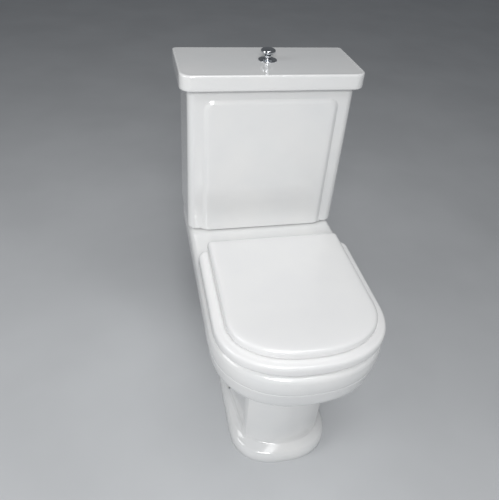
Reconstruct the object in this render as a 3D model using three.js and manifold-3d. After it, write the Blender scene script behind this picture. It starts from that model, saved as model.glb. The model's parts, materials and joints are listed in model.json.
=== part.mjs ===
// A close coupled toilet, in millimetres, +Z up, its front towards -Y.
// Places are given as (x, w, z), where w is the distance forward from the wall.

import * as THREE from 'three';
import { mergeVertices } from 'three/addons/utils/BufferGeometryUtils.js';
import Module from 'manifold-3d';

const wasm = await Module();
wasm.setup();

// ---------------------------------------------------------------- driving sizes

const FIT = 0.3; // gap between pieces that rest on or line up with each other
const SLIDE = 0.4; // gap round a pin, rod or shank in its hole

// Pan
const PAN_FRONT = 657; // wall to the front of the rim
const RIM_TOP = 408; // floor to the rim and the deck
const RIM_HALF = 185.5; // half the width of the rim and the deck
const RIM_FRONT_LENGTH = 172; // length of the round front of the rim
const ROLL_HEIGHT = 92; // height of the roll round the rim
const DECK_BACK = 20;
const DECK_THICK = 13;
const CHINA = 10; // thickness of the pan's walls
const SKIRT_BACK = 35;
const FOOT_HALF = 121;
const FOOT_FRONT = 583;
const FOOT_FRONT_LENGTH = 107;
const PLINTH_HEIGHT = 32;
const PLINTH_LEDGE = 17; // the foot stands out from the skirt by this
const COLUMN_SET_IN = 30; // and from the middle of the column's front by this
const COLUMN_BOW = 31; // how far the column's front bulges between its two corners
const COLUMN_TAPER = 15; // how much narrower the column is at those corners than the skirt
const RIM_SIDE = 59.5; // width of the rim's top at the sides
const RIM_NOSE = 46; // and at the front
const BOWL_BACK = 322;
const RIM_LIP_HEIGHT = 52; // height of the rim's inner face
const RIM_LIP_THICK = 13;
const RIM_CHANNEL = 20; // width of the open flushing channel behind that lip
const RIM_CHANNEL_ROOF = 18;
const SUMP_FLOOR = 100;
const SUMP_FORWARD = 70; // from the bowl's back to the middle of the sump
const TRAP_BORE = 29; // radius of the passage
const TRAP_REACH = 152; // from the middle of the sump back to the top of the weir
const WEIR_HEIGHT = 246;
const OUTLET_HEIGHT = 180;
const OUTLET_RADIUS = 51;
const OUTLET_BORE = 42;
const OUTLET_BACK = 10;
const OUTLET_LENGTH = 60;

// Cistern
const TANK_HALF = 186;
const TANK_BACK = 5;
const TANK_FRONT = 168;
const TANK_GAP = 4; // between the deck and the underside of the tank
const TANK_HEIGHT = 378;
const TANK_WALL = 10;
const TANK_FLOOR = 14;
const TANK_CORNER = 18;
const PANEL_MARGIN = 40; // from the tank's side to the raised panel
const PANEL_DROP = 28; // from the lid's lower edge to the panel's top
const PANEL_RAISE = 5;
const PANEL_CORNER = 18;
const LID_OVERHANG = 17; // past the tank's sides
const LID_NOSE = 14; // past the tank's front
const LID_PLATE = 13.7;
const LID_HEIGHT = 34;
const LID_EDGE = 5;
const LID_CORNER = 26;
const LID_WALL = 10;

// Seat
const HINGE_BACK = 38; // from the bowl's back to the hinge axis
const HINGE_RISE = 19; // from the rim to the hinge axis
const SEAT_LIFT = 6.5; // from the rim to the ring's underside
const RING_INSET = 7; // the ring's edge lies inside the rim's by this
const RING_FRONT_LENGTH = 139;
const RING_THICK = 23.5;
const RING_LEDGE = 14; // how far the ring reaches over the bowl's opening
const COVER_STEP = 22.5; // the cover's side lies inside the ring's by this
const COVER_NOSE = 19; // and its front by this
const COVER_FRONT_LENGTH = 112;
const COVER_GAP = 3; // between the ring and the cover
const COVER_THICK = 19;
const COVER_RIM = 26; // width of the solid edge round the hollow underside of the cover
const COVER_SKIN = 8; // thickness over that hollow
const KNUCKLE_RADIUS = 8;
const KNUCKLE_WIDTH = 13;
const HINGE_PIN_RADIUS = 3.2;
const POST_INNER = 66; // from the middle to the near side of a post
const POST_WIDTH = 23;
const SEAT_BOLT_BACK = 24; // from the hinge axis back to the seat bolts
const SEAT_BOLT_RADIUS = 4;
const RING_BUFFER_RADIUS = 9;
const COVER_BUFFER_RADIUS = 7;

// Flush valve, knob and inlet
const VALVE_PLACE = 88; // wall to the middle of the flush valve and the knob
const TAIL_RADIUS = 27;
const TAIL_WALL = 3.5;
const TAIL_LENGTH = 52;
const VALVE_SEAT_RISE = 16; // from the tank's floor to the seal
const VALVE_TUBE_RADIUS = 15;
const VALVE_TUBE_DROP = 90; // from the tank's rim to the top of the overflow tube
const ROD_RADIUS = 3;
const ROD_REACH = 60; // how far the rod goes down inside the tube
const KNOB_RADIUS = 16.5;
const KNOB_HEIGHT = 20;
const ESCUTCHEON_RADIUS = 21;
const ESCUTCHEON_HEIGHT = 5;
const INLET_PLACE = 58;
const INLET_DROP = 52; // from the tank's rim to the inlet's axis
const INLET_RADIUS = 10;
const INLET_BARREL = 12;
const PISTON_RADIUS = 5.7;
const PIVOT_IN = 26; // from the tank's inner wall to the float arm's pivot
const PIVOT_DROP = 20; // from the inlet's axis down to that pivot
const FLOAT_OUT = 71; // from the middle to the float, with the cistern empty
const ARM_DROOP = 20; // degrees below level, with the cistern empty
const FLOAT_RADIUS = 42;

// Fixings
const COUPLING_BOLT_OUT = 75;
const COUPLING_BOLT_RADIUS = 4;
const SIDE_SCREW_PLACE = 380;
const SIDE_SCREW_HEIGHT = 50;
const SIDE_SCREW_RADIUS = 3;
const BRACKET_THICK = 3;

// ---------------------------------------------------------------- places that follow from them

const WALL = PAN_FRONT / 2; // the wall's Y, with the model's middle at Y = 0
const LIP_BOTTOM = RIM_TOP - ROLL_HEIGHT;
const DECK_UNDER = RIM_TOP - DECK_THICK;
const SKIRT_HALF = FOOT_HALF - PLINTH_LEDGE;
const COLUMN_HALF = SKIRT_HALF - COLUMN_TAPER;
const COLUMN_FRONT = FOOT_FRONT - COLUMN_SET_IN;
const COLUMN_CORNER = COLUMN_FRONT - COLUMN_BOW;
const BOWL_HALF = RIM_HALF - RIM_SIDE;
const BOWL_FRONT = PAN_FRONT - RIM_NOSE;
const SUMP_CENTRE = BOWL_BACK + SUMP_FORWARD;
const WEIR_PLACE = SUMP_CENTRE - TRAP_REACH;
const TANK_BOTTOM = RIM_TOP + TANK_GAP;
const TANK_FLOOR_TOP = TANK_BOTTOM + TANK_FLOOR;
const TANK_TOP = TANK_BOTTOM + TANK_HEIGHT;
const LID_PLATE_BOTTOM = TANK_TOP + FIT;
const LID_TOP = LID_PLATE_BOTTOM + LID_PLATE;
const LID_BOTTOM = LID_TOP - LID_HEIGHT;
const LID_HALF = TANK_HALF + LID_OVERHANG;
const LID_FRONT = TANK_FRONT + LID_NOSE;
const PANEL_HALF = TANK_HALF - PANEL_MARGIN;
const PANEL_TOP = LID_BOTTOM - PANEL_DROP;
const HINGE_PLACE = BOWL_BACK - HINGE_BACK;
const HINGE_HEIGHT = RIM_TOP + HINGE_RISE;
const RING_HALF = RIM_HALF - RING_INSET;
const RING_BACK = HINGE_PLACE + 2;
const RING_FRONT = PAN_FRONT - RING_INSET;
const RING_BOTTOM = RIM_TOP + SEAT_LIFT;
const RING_TOP = RING_BOTTOM + RING_THICK;
const RING_HOLE_HALF = BOWL_HALF - RING_LEDGE;
const RING_HOLE_BACK = BOWL_BACK + RING_LEDGE + 4;
const RING_HOLE_FRONT = BOWL_FRONT - RING_LEDGE - 7;
const COVER_HALF = RING_HALF - COVER_STEP;
const COVER_BACK = HINGE_PLACE - KNUCKLE_RADIUS;
const COVER_FRONT = RING_FRONT - COVER_NOSE;
const COVER_BOTTOM = RING_TOP + COVER_GAP;
const POST_OUTER = POST_INNER + POST_WIDTH;
const POST_MIDDLE = POST_INNER + POST_WIDTH / 2;
const SEAT_BOLT_PLACE = HINGE_PLACE - SEAT_BOLT_BACK;
const VALVE_SEAT = TANK_FLOOR_TOP + VALVE_SEAT_RISE;
const VALVE_TUBE_TOP = TANK_TOP - VALVE_TUBE_DROP;
const INLET_WALL = TANK_HALF - TANK_WALL;
const INLET_END = LID_HALF - 1;
const INLET_HEIGHT = TANK_TOP - INLET_DROP;
const PIVOT_OUT = INLET_WALL - PIVOT_IN;
const SLEEVE_RADIUS = ROD_RADIUS + SLIDE + 2.4; // the escutcheon's tube through the lid
const ARM_LENGTH = (PIVOT_OUT + FLOAT_OUT) / Math.cos(THREE.MathUtils.degToRad(ARM_DROOP));
const SIDES = [['left', -1], ['right', 1]];

// ---------------------------------------------------------------- materials

const finish = (color, roughness, metalness) =>
  new THREE.MeshStandardMaterial({ color, roughness, metalness });
const china = finish('#eef0f1', 0.12, 0);
const seatPlastic = finish('#f3f4f4', 0.2, 0);
const chrome = finish('#c9ccd0', 0.08, 1);
const steel = finish('#9fa3a6', 0.35, 1);
const rubber = finish('#26272a', 0.8, 0);
const whiteNylon = finish('#e4e4de', 0.45, 0);
const brass = finish('#b08d4e', 0.35, 1);
const floatPlastic = finish('#c9582c', 0.4, 0);

// ---------------------------------------------------------------- solids

// Turns a three.js geometry into a solid that can be joined and cut.
function solid(geometry) {
  geometry.deleteAttribute('normal');
  geometry.deleteAttribute('uv');
  const merged = mergeVertices(geometry, 1e-4);
  const points = merged.attributes.position.array;
  const corners = [];
  let volume = 0;
  const at = (i) => new THREE.Vector3().fromArray(points, 3 * i);
  for (let i = 0; i < merged.index.count; i += 3) {
    const [a, b, c] = [0, 1, 2].map((k) => merged.index.getX(i + k));
    if (a === b || b === c || c === a) continue;
    corners.push([a, b, c]);
    volume += at(a).dot(at(b).cross(at(c)));
  }
  const triangles = volume > 0 ? corners : corners.map(([a, b, c]) => [a, c, b]);
  const triVerts = Uint32Array.from(triangles.flat());
  return new wasm.Manifold(new wasm.Mesh({ numProp: 3, vertProperties: points, triVerts }));
}

// A box between two distances on each axis.
function box(x0, x1, w0, w1, z0, z1) {
  const geometry = new THREE.BoxGeometry(x1 - x0, w1 - w0, z1 - z0);
  geometry.translate((x0 + x1) / 2, WALL - (w0 + w1) / 2, (z0 + z1) / 2);
  return solid(geometry);
}

// A solid turned about a vertical axis at (x, w), from [radius, z] pairs that close on themselves.
function turned(profile, sides, x = 0, w = 0) {
  const points = [...profile, profile[0]].map(([radius, z]) => new THREE.Vector2(radius, z));
  const geometry = new THREE.LatheGeometry(points, sides);
  geometry.rotateX(Math.PI / 2);
  geometry.translate(x, WALL - w, 0);
  return solid(geometry);
}

// A round bar between two heights.
function upright(radius, x, w, z0, z1, sides = 20) {
  return turned([[0, z0], [radius, z0], [radius, z1], [0, z1]], sides, x, w);
}

// A round bar along X.
function across(radius, x0, x1, w, z, sides = 20) {
  const geometry = new THREE.CylinderGeometry(radius, radius, x1 - x0, sides);
  geometry.rotateZ(Math.PI / 2);
  geometry.translate((x0 + x1) / 2, WALL - w, z);
  return solid(geometry);
}

// A round bar along Y.
function along(radius, x, w0, w1, z, sides = 20) {
  const geometry = new THREE.CylinderGeometry(radius, radius, w1 - w0, sides);
  geometry.translate(x, WALL - (w0 + w1) / 2, z);
  return solid(geometry);
}

// A solid through outlines at rising heights: each level is { z, outline }, all with as many points.
function loft(levels) {
  const around = levels[0].outline.length;
  const steps = levels.length - 1;
  const geometry = new THREE.CylinderGeometry(1, 1, steps, around, steps);
  const place = geometry.attributes.position;
  for (let i = 0; i < place.count; i++) {
    const { z, outline } = levels[Math.round(place.getY(i) + steps / 2)];
    const turn = Math.atan2(place.getX(i), place.getZ(i)) / (2 * Math.PI);
    const onAxis = Math.hypot(place.getX(i), place.getZ(i)) < 0.5;
    const middle = (outline[0][1] + outline[around / 2][1]) / 2;
    const [x, w] = onAxis ? [0, middle] : outline[(Math.round(turn * around) + around) % around];
    place.setXYZ(i, x, WALL - w, z);
  }
  return solid(geometry);
}

// A rounded rectangle in plan, pushed up between two heights.
function slab(half, w0, w1, z0, z1, frontCorner, backCorner, steps = 5) {
  const shape = new THREE.Shape();
  const corners = [
    [-half, w0, backCorner, 1, 1], [half, w0, backCorner, -1, 1],
    [half, w1, frontCorner, -1, -1], [-half, w1, frontCorner, 1, -1],
  ];
  corners.forEach(([x, w, r, sx, sw], i) => {
    const first = i % 2 ? [x + sx * r, w] : [x, w + sw * r];
    const last = i % 2 ? [x, w + sw * r] : [x + sx * r, w];
    if (i === 0) shape.moveTo(...first);
    else shape.lineTo(...first);
    shape.quadraticCurveTo(x, w, ...last);
  });
  shape.closePath();
  const settings = { depth: z1 - z0, bevelEnabled: false, curveSegments: steps };
  const geometry = new THREE.ExtrudeGeometry(shape, settings);
  geometry.scale(1, -1, 1);
  geometry.translate(0, WALL, z0);
  return solid(geometry);
}

const together = (pieces) => pieces.reduce((sum, piece) => sum.add(piece));
const minus = (body, holes) => holes.reduce((rest, hole) => rest.subtract(hole), body);

const part = new THREE.Group();
part.name = 'close_coupled_toilet';

function add(name, body, material) {
  const { vertProperties, triVerts } = body.getMesh();
  const geometry = new THREE.BufferGeometry();
  geometry.setAttribute('position', new THREE.BufferAttribute(Float32Array.from(vertProperties), 3));
  geometry.setIndex(new THREE.BufferAttribute(Uint32Array.from(triVerts), 1));
  geometry.computeVertexNormals();
  const mesh = new THREE.Mesh(geometry, material);
  mesh.name = name;
  part.add(mesh);
}

// ---------------------------------------------------------------- outlines in plan

// Half an outline given from its back middle to its front middle, made whole.
function mirrored(half) {
  const other = half.slice(1, -1).reverse().map(([x, w]) => [-x, w]);
  return [...half, ...other];
}

// A quarter of a superellipse: share runs from 0 on the side to 1 at the tip.
function quarter(share, half, length, power) {
  const angle = share * Math.PI / 2;
  return [half * Math.cos(angle) ** (2 / power), length * Math.sin(angle) ** (2 / power)];
}

// Straight back with round corners, straight sides and a round front.
function seatOutline({ half, back, corner, front, length, power = 2.3 }, frontSteps = 9) {
  const points = [[0, back]];
  for (const share of [1, 0.5, 0]) {
    const [x, w] = quarter(share, corner, corner, 2);
    points.push([half - corner + x, back + corner - w]);
  }
  points.push([half, (back + corner + front - length) / 2]);
  for (let i = 0; i <= frontSteps; i++) {
    const [x, w] = quarter(i / frontSteps, half, length, power);
    points.push([x, front - length + w]);
  }
  return mirrored(points);
}

// An egg: round at the back and at the front, widest where the two meet.
function eggOutline({ half, back, widest, front, power = 2.2 }, steps = 7) {
  const points = [];
  for (let i = steps; i > 0; i--) {
    const [x, w] = quarter(i / steps, half, widest - back, power);
    points.push([x, widest - w]);
  }
  for (let i = 0; i <= steps; i++) {
    const [x, w] = quarter(i / steps, half, front - widest, power);
    points.push([x, widest + w]);
  }
  return mirrored(points);
}

// The pan's plan at one height: a skirt, a shoulder where it starts to narrow, a corner, a front.
// crease 1 leaves the corner sharp, as on the column, and 0 rounds it away, as on the rim.
function panOutline({ back, half, shoulder, cornerHalf, corner, front, power = 2.3, crease = 0 }) {
  const steps = 9;
  const rearCorner = 14;
  const points = [[0, back]];
  for (const share of [1, 0.5, 0]) {
    const [x, w] = quarter(share, rearCorner, rearCorner, 2);
    points.push([half - rearCorner + x, back + rearCorner - w]);
  }
  points.push([half, shoulder]);
  for (let i = 0; i <= steps; i++) {
    const [x, w] = quarter(i / steps, cornerHalf, front - corner, power);
    const bow = (front - corner) * (1 - (x / cornerHalf) ** 2);
    points.push([x, corner + w + (bow - w) * crease]);
  }
  return mirrored(points);
}

// Every size of a plan drawn in by a wall's thickness.
function drawnIn(plan, wall) {
  return {
    ...plan,
    back: plan.back + wall,
    half: plan.half - wall,
    cornerHalf: plan.cornerHalf - wall,
    front: plan.front - wall,
  };
}

// ---------------------------------------------------------------- pan

const rimPlan = (inset) => ({
  back: DECK_BACK,
  half: RIM_HALF - inset,
  shoulder: PAN_FRONT - RIM_FRONT_LENGTH - 90,
  cornerHalf: RIM_HALF - inset,
  corner: PAN_FRONT - RIM_FRONT_LENGTH,
  front: PAN_FRONT - inset,
});

const columnPlan = (grow) => ({
  back: SKIRT_BACK,
  half: SKIRT_HALF + grow,
  shoulder: COLUMN_CORNER - 130,
  cornerHalf: COLUMN_HALF + grow,
  corner: COLUMN_CORNER - grow / 3,
  front: COLUMN_FRONT + grow,
  power: 2,
  crease: 1,
});

const footPlan = (inset) => ({
  back: SKIRT_BACK,
  half: FOOT_HALF - inset,
  shoulder: FOOT_FRONT - FOOT_FRONT_LENGTH - 80,
  cornerHalf: FOOT_HALF - inset,
  corner: FOOT_FRONT - FOOT_FRONT_LENGTH,
  front: FOOT_FRONT - inset,
});

// Heights and plans of the outside, from the floor to the rim.
const outside = [
  [0, footPlan(0)],
  [PLINTH_HEIGHT - 12, footPlan(1)],
  [PLINTH_HEIGHT - 4, footPlan(4)],
  [PLINTH_HEIGHT, footPlan(10)],
  [PLINTH_HEIGHT + 6, columnPlan(2)],
  [PLINTH_HEIGHT + 14, columnPlan(0)],
  [LIP_BOTTOM - 126, columnPlan(0)],
  [LIP_BOTTOM - 78, { ...columnPlan(14), crease: 0.7 }],
  [LIP_BOTTOM - 44, { ...columnPlan(34), crease: 0.3 }],
  [LIP_BOTTOM - 18, { ...rimPlan(34), back: SKIRT_BACK }],
  [LIP_BOTTOM - 4, rimPlan(20)],
  [LIP_BOTTOM, rimPlan(12)],
  [LIP_BOTTOM + 14, rimPlan(6)],
  [LIP_BOTTOM + 31, rimPlan(3)],
  [RIM_TOP - 44, rimPlan(0.5)],
  [RIM_TOP - 28, rimPlan(0)],
  [RIM_TOP - 12, rimPlan(1)],
  [RIM_TOP - 4, rimPlan(4)],
  [RIM_TOP, rimPlan(9)],
];

const BOWL_WIDEST = (BOWL_BACK + BOWL_FRONT) / 2 - 20;
const channelOut = RIM_LIP_THICK + RIM_CHANNEL;
const opening = (out) => ({
  half: BOWL_HALF + out,
  back: BOWL_BACK - out * 0.8,
  widest: BOWL_WIDEST,
  front: BOWL_FRONT + out * 0.7,
});

// Depths of the bowl's inside from its rim channel to its sump, as shares of the way between them.
const bowlShares = [
  [0, 0], [0.2, 0.09], [0.33, 0.25], [0.46, 0.43], [0.6, 0.6], [0.74, 0.76], [0.87, 0.86], [1, 0.95],
];

function bowlLevels(wall) {
  const top = RIM_TOP - RIM_LIP_HEIGHT;
  const wide = opening(channelOut);
  return bowlShares.map(([down, narrow]) => {
    const mix = (from, to) => from + (to - from) * narrow;
    const outline = eggOutline({
      half: mix(wide.half, 18) + wall,
      back: mix(wide.back, SUMP_CENTRE - 22) - wall,
      widest: mix(wide.widest, SUMP_CENTRE),
      front: mix(wide.front, SUMP_CENTRE + 22) + wall,
    });
    return { z: top + (SUMP_FLOOR - wall - top) * down, outline };
  }).reverse();
}

// The water's way from the sump over the weir to the outlet.
function trapWay(radius, end) {
  const route = [
    [SUMP_CENTRE, SUMP_FLOOR + 34],
    [SUMP_CENTRE - 32, SUMP_FLOOR + 40],
    [SUMP_CENTRE - 78, SUMP_FLOOR + 68],
    [WEIR_PLACE + 34, WEIR_HEIGHT - 18],
    [WEIR_PLACE, WEIR_HEIGHT],
    [WEIR_PLACE - 32, WEIR_HEIGHT - 16],
    [WEIR_PLACE - 54, OUTLET_HEIGHT + 20],
    [WEIR_PLACE - 90, OUTLET_HEIGHT],
    [end, OUTLET_HEIGHT],
  ];
  const path = new THREE.CatmullRomCurve3(route.map(([w, z]) => new THREE.Vector3(0, WALL - w, z)));
  const section = new THREE.Shape();
  section.absarc(0, 0, radius, 0, 2 * Math.PI);
  return solid(new THREE.ExtrudeGeometry(section, { steps: 22, extrudePath: path, curveSegments: 7 }));
}

// Heights where the rim's part of the pan meets the pedestal, and the plans just above and below.
const PAN_JOIN = LIP_BOTTOM - 4;

// The outside of the pan between two of its heights.
function outsideBetween(low, high, wall = 0) {
  const levels = outside.filter(([z]) => z >= low && z <= high);
  return loft(levels.map(([z, plan]) => ({ z, outline: panOutline(drawnIn(plan, wall)) })));
}

// The bowl, the rim and the deck over the cistern's and the seat's bolts.
function makeBowl() {
  const roll = outsideBetween(PAN_JOIN, RIM_TOP);
  const shell = loft(bowlLevels(CHINA)).intersect(outsideBetween(0, RIM_TOP));
  const chamberBack = DECK_BACK + CHINA;
  const chamberFront = BOWL_BACK - channelOut - CHINA;
  const roomHalf = RIM_HALF - CHINA - 12;
  const deckRoom = box(-roomHalf, roomHalf, chamberBack, chamberFront, PAN_JOIN + CHINA, DECK_UNDER);
  const skirtRoom = SKIRT_HALF - CHINA;
  const throat = box(-skirtRoom, skirtRoom, chamberBack, chamberFront, PAN_JOIN - 1, DECK_UNDER - 20);
  const ductWall = box(-28, 28, VALVE_PLACE, chamberFront + 4, DECK_UNDER - 50, RIM_TOP - 4);
  const wellWall = upright(TAIL_RADIUS + 29, 0, VALVE_PLACE, DECK_UNDER - 50, RIM_TOP - 4, 24);

  const bowl = loft([{ z: SUMP_FLOOR - 1, outline: bowlLevels(0)[0].outline }, ...bowlLevels(0).slice(1)]);
  const lipBottom = RIM_TOP - RIM_LIP_HEIGHT;
  const mouth = loft([
    { z: lipBottom - 2, outline: eggOutline(opening(0)) },
    { z: RIM_TOP - 8, outline: eggOutline(opening(0)) },
    { z: RIM_TOP - 2, outline: eggOutline(opening(2)) },
    { z: RIM_TOP + 1, outline: eggOutline(opening(8)) },
  ]);
  const channelTop = RIM_TOP - RIM_CHANNEL_ROOF;
  const channel = loft([
    { z: lipBottom - 1, outline: eggOutline(opening(channelOut)) },
    { z: channelTop, outline: eggOutline(opening(channelOut - 4)) },
  ]).subtract(loft([
    { z: lipBottom - 2, outline: eggOutline(opening(RIM_LIP_THICK)) },
    { z: RIM_TOP, outline: eggOutline(opening(RIM_LIP_THICK)) },
  ]));
  const well = upright(TAIL_RADIUS + 19, 0, VALVE_PLACE, RIM_TOP - 28, RIM_TOP + 1, 24);
  const wellBottom = upright(TAIL_RADIUS + 3, 0, VALVE_PLACE, RIM_TOP - 56, RIM_TOP - 27, 20);
  const duct = along(15, 0, VALVE_PLACE, BOWL_BACK - RIM_LIP_THICK - 12, channelTop - 16, 12);
  const boltHoles = SIDES.flatMap(([, side]) => [
    upright(SEAT_BOLT_RADIUS + 3, side * POST_MIDDLE, SEAT_BOLT_PLACE, DECK_UNDER - 1, RIM_TOP + 1, 12),
    upright(COUPLING_BOLT_RADIUS + 2, side * COUPLING_BOLT_OUT, VALVE_PLACE, DECK_UNDER - 1, RIM_TOP + 1, 12),
  ]);
  const body = together([minus(roll, [deckRoom, throat]), shell, ductWall, wellWall]);
  const passage = trapWay(TRAP_BORE, OUTLET_BACK);
  return minus(body, [bowl, mouth, channel, well, wellBottom, duct, ...boltHoles, passage]);
}

// The plinth, the column and the skirt, open below.
function makePedestal() {
  const walls = outsideBetween(0, PAN_JOIN);
  const upTo = outside.filter(([z]) => z > 0 && z <= PAN_JOIN - 30);
  const room = loft([
    { z: -1, outline: panOutline(drawnIn(footPlan(0), CHINA)) },
    ...upTo.map(([z, plan]) => ({ z, outline: panOutline(drawnIn(plan, CHINA)) })),
    { z: PAN_JOIN + 1, outline: panOutline(drawnIn(upTo.at(-1)[1], CHINA)) },
  ]);
  const screwHoles = SIDES.map(([, side]) => across(
    SIDE_SCREW_RADIUS + 2, side * SKIRT_HALF - 20, side * SKIRT_HALF + 20,
    SIDE_SCREW_PLACE, SIDE_SCREW_HEIGHT, 14,
  ));
  const bowlClear = loft(bowlLevels(CHINA + FIT));
  const topClear = box(-RIM_HALF, RIM_HALF, 0, PAN_FRONT, PAN_JOIN - FIT, PAN_JOIN + 2);
  const outletClear = along(OUTLET_RADIUS + FIT, 0, 0, OUTLET_BACK + OUTLET_LENGTH, OUTLET_HEIGHT, 32);
  return minus(walls, [room, bowlClear, topClear, outletClear, ...screwHoles]);
}

// The trap from the sump over the weir to the outlet.
function makeTrap() {
  const tube = trapWay(TRAP_BORE + CHINA - 2, OUTLET_BACK + 30);
  const spigot = along(OUTLET_RADIUS, 0, OUTLET_BACK, OUTLET_BACK + OUTLET_LENGTH + 10, OUTLET_HEIGHT, 28);
  const outlet = along(OUTLET_BORE, 0, OUTLET_BACK - 1, OUTLET_BACK + OUTLET_LENGTH, OUTLET_HEIGHT, 28);
  const bowlClear = loft(bowlLevels(CHINA + FIT));
  const passage = trapWay(TRAP_BORE, OUTLET_BACK + OUTLET_LENGTH);
  return minus(tube.add(spigot), [bowlClear, passage, outlet]);
}

// The pan is one casting. It is kept as nodes that each have a simple shape, a hair apart:
// [back, front, bottom, top] of the room that each takes of the bowl.
const deckEnd = BOWL_BACK - channelOut - CHINA + 4;
const basinTop = RIM_TOP - RIM_LIP_HEIGHT - 6;
const sumpTop = SUMP_FLOOR + 140;
const bowlParts = [
  ['pan_deck', 0, deckEnd, 0, RIM_TOP + 1],
  ['pan_rim', deckEnd + FIT, PAN_FRONT + 1, basinTop + FIT, RIM_TOP + 1],
  ['pan_basin', deckEnd + FIT, PAN_FRONT + 1, sumpTop + FIT, basinTop],
  ['pan_sump', deckEnd + FIT, PAN_FRONT + 1, 0, sumpTop],
];
const wholeBowl = makeBowl();
for (const [name, w0, w1, z0, z1] of bowlParts) {
  add(name, wholeBowl.intersect(box(-RIM_HALF - 1, RIM_HALF + 1, w0, w1, z0, z1)), china);
}
add('pan_pedestal', makePedestal(), china);

const wholeTrap = makeTrap();
const outletEnd = OUTLET_BACK + OUTLET_LENGTH;
const trapSide = box(-RIM_HALF, RIM_HALF, outletEnd + FIT, PAN_FRONT, 0, RIM_TOP);
add('pan_trapway', wholeTrap.intersect(trapSide), china);
add('pan_outlet', wholeTrap.intersect(box(-RIM_HALF, RIM_HALF, 0, outletEnd, 0, RIM_TOP)), china);

// ---------------------------------------------------------------- cistern

function makeTank() {
  const shell = slab(TANK_HALF, TANK_BACK, TANK_FRONT, TANK_BOTTOM, TANK_TOP, TANK_CORNER, 8);
  const room = slab(
    TANK_HALF - TANK_WALL, TANK_BACK + TANK_WALL, TANK_FRONT - TANK_WALL,
    TANK_FLOOR_TOP, TANK_TOP + 1, TANK_CORNER - 6, 6,
  );
  const face = new THREE.Shape();
  face.moveTo(-PANEL_HALF, TANK_BOTTOM);
  face.lineTo(PANEL_HALF, TANK_BOTTOM);
  face.lineTo(PANEL_HALF, PANEL_TOP - PANEL_CORNER);
  face.absarc(PANEL_HALF - PANEL_CORNER, PANEL_TOP - PANEL_CORNER, PANEL_CORNER, 0, Math.PI / 2);
  face.lineTo(-PANEL_HALF + PANEL_CORNER, PANEL_TOP);
  face.absarc(-PANEL_HALF + PANEL_CORNER, PANEL_TOP - PANEL_CORNER, PANEL_CORNER, Math.PI / 2, Math.PI);
  face.closePath();
  const settings = { depth: PANEL_RAISE + 2, bevelEnabled: false, curveSegments: 5 };
  const relief = new THREE.ExtrudeGeometry(face, settings);
  relief.rotateX(Math.PI / 2);
  relief.translate(0, WALL - TANK_FRONT + 2, 0);
  return minus(shell.add(solid(relief)), [
    room,
    upright(TAIL_RADIUS + SLIDE, 0, VALVE_PLACE, TANK_BOTTOM - 1, TANK_FLOOR_TOP + 1, 32),
    across(INLET_RADIUS + SLIDE, INLET_WALL - 1, TANK_HALF + 1, INLET_PLACE, INLET_HEIGHT, 20),
    ...SIDES.map(([, side]) => upright(
      COUPLING_BOLT_RADIUS + 1, side * COUPLING_BOLT_OUT, VALVE_PLACE,
      TANK_BOTTOM - 1, TANK_FLOOR_TOP + 1, 14,
    )),
  ]);
}

function makeLid() {
  const levels = [
    [0, 2], [2, 0], [LID_HEIGHT - LID_EDGE, 0], [LID_HEIGHT - 1.5, 1.5], [LID_HEIGHT, LID_EDGE],
  ];
  const outer = loft(levels.map(([up, inset]) => {
    const points = [[0, 0]];
    points.push([LID_HALF - 6 - inset, 0], [LID_HALF - inset, 6]);
    for (let i = 0; i <= 5; i++) {
      const [x, w] = quarter(i / 5, LID_CORNER, LID_CORNER, 2);
      points.push([LID_HALF - inset - LID_CORNER + x, LID_FRONT - inset - LID_CORNER + w]);
    }
    points.push([0, LID_FRONT - inset]);
    return { z: LID_BOTTOM + up, outline: mirrored(points) };
  }));
  const recess = slab(
    LID_HALF - LID_WALL, -1, LID_FRONT - 5, LID_BOTTOM - 1, LID_PLATE_BOTTOM, TANK_CORNER, 1,
  );
  const rodHole = upright(SLEEVE_RADIUS + 1, 0, VALVE_PLACE, LID_PLATE_BOTTOM - 1, LID_TOP + 1, 20);
  return minus(outer, [recess, rodHole]);
}

add('cistern_tank', makeTank(), china);
add('cistern_lid', makeLid(), china);

// ---------------------------------------------------------------- seat

const notchIn = POST_INNER - KNUCKLE_WIDTH - 3;
const notchOut = POST_OUTER + KNUCKLE_WIDTH + 3;

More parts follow.
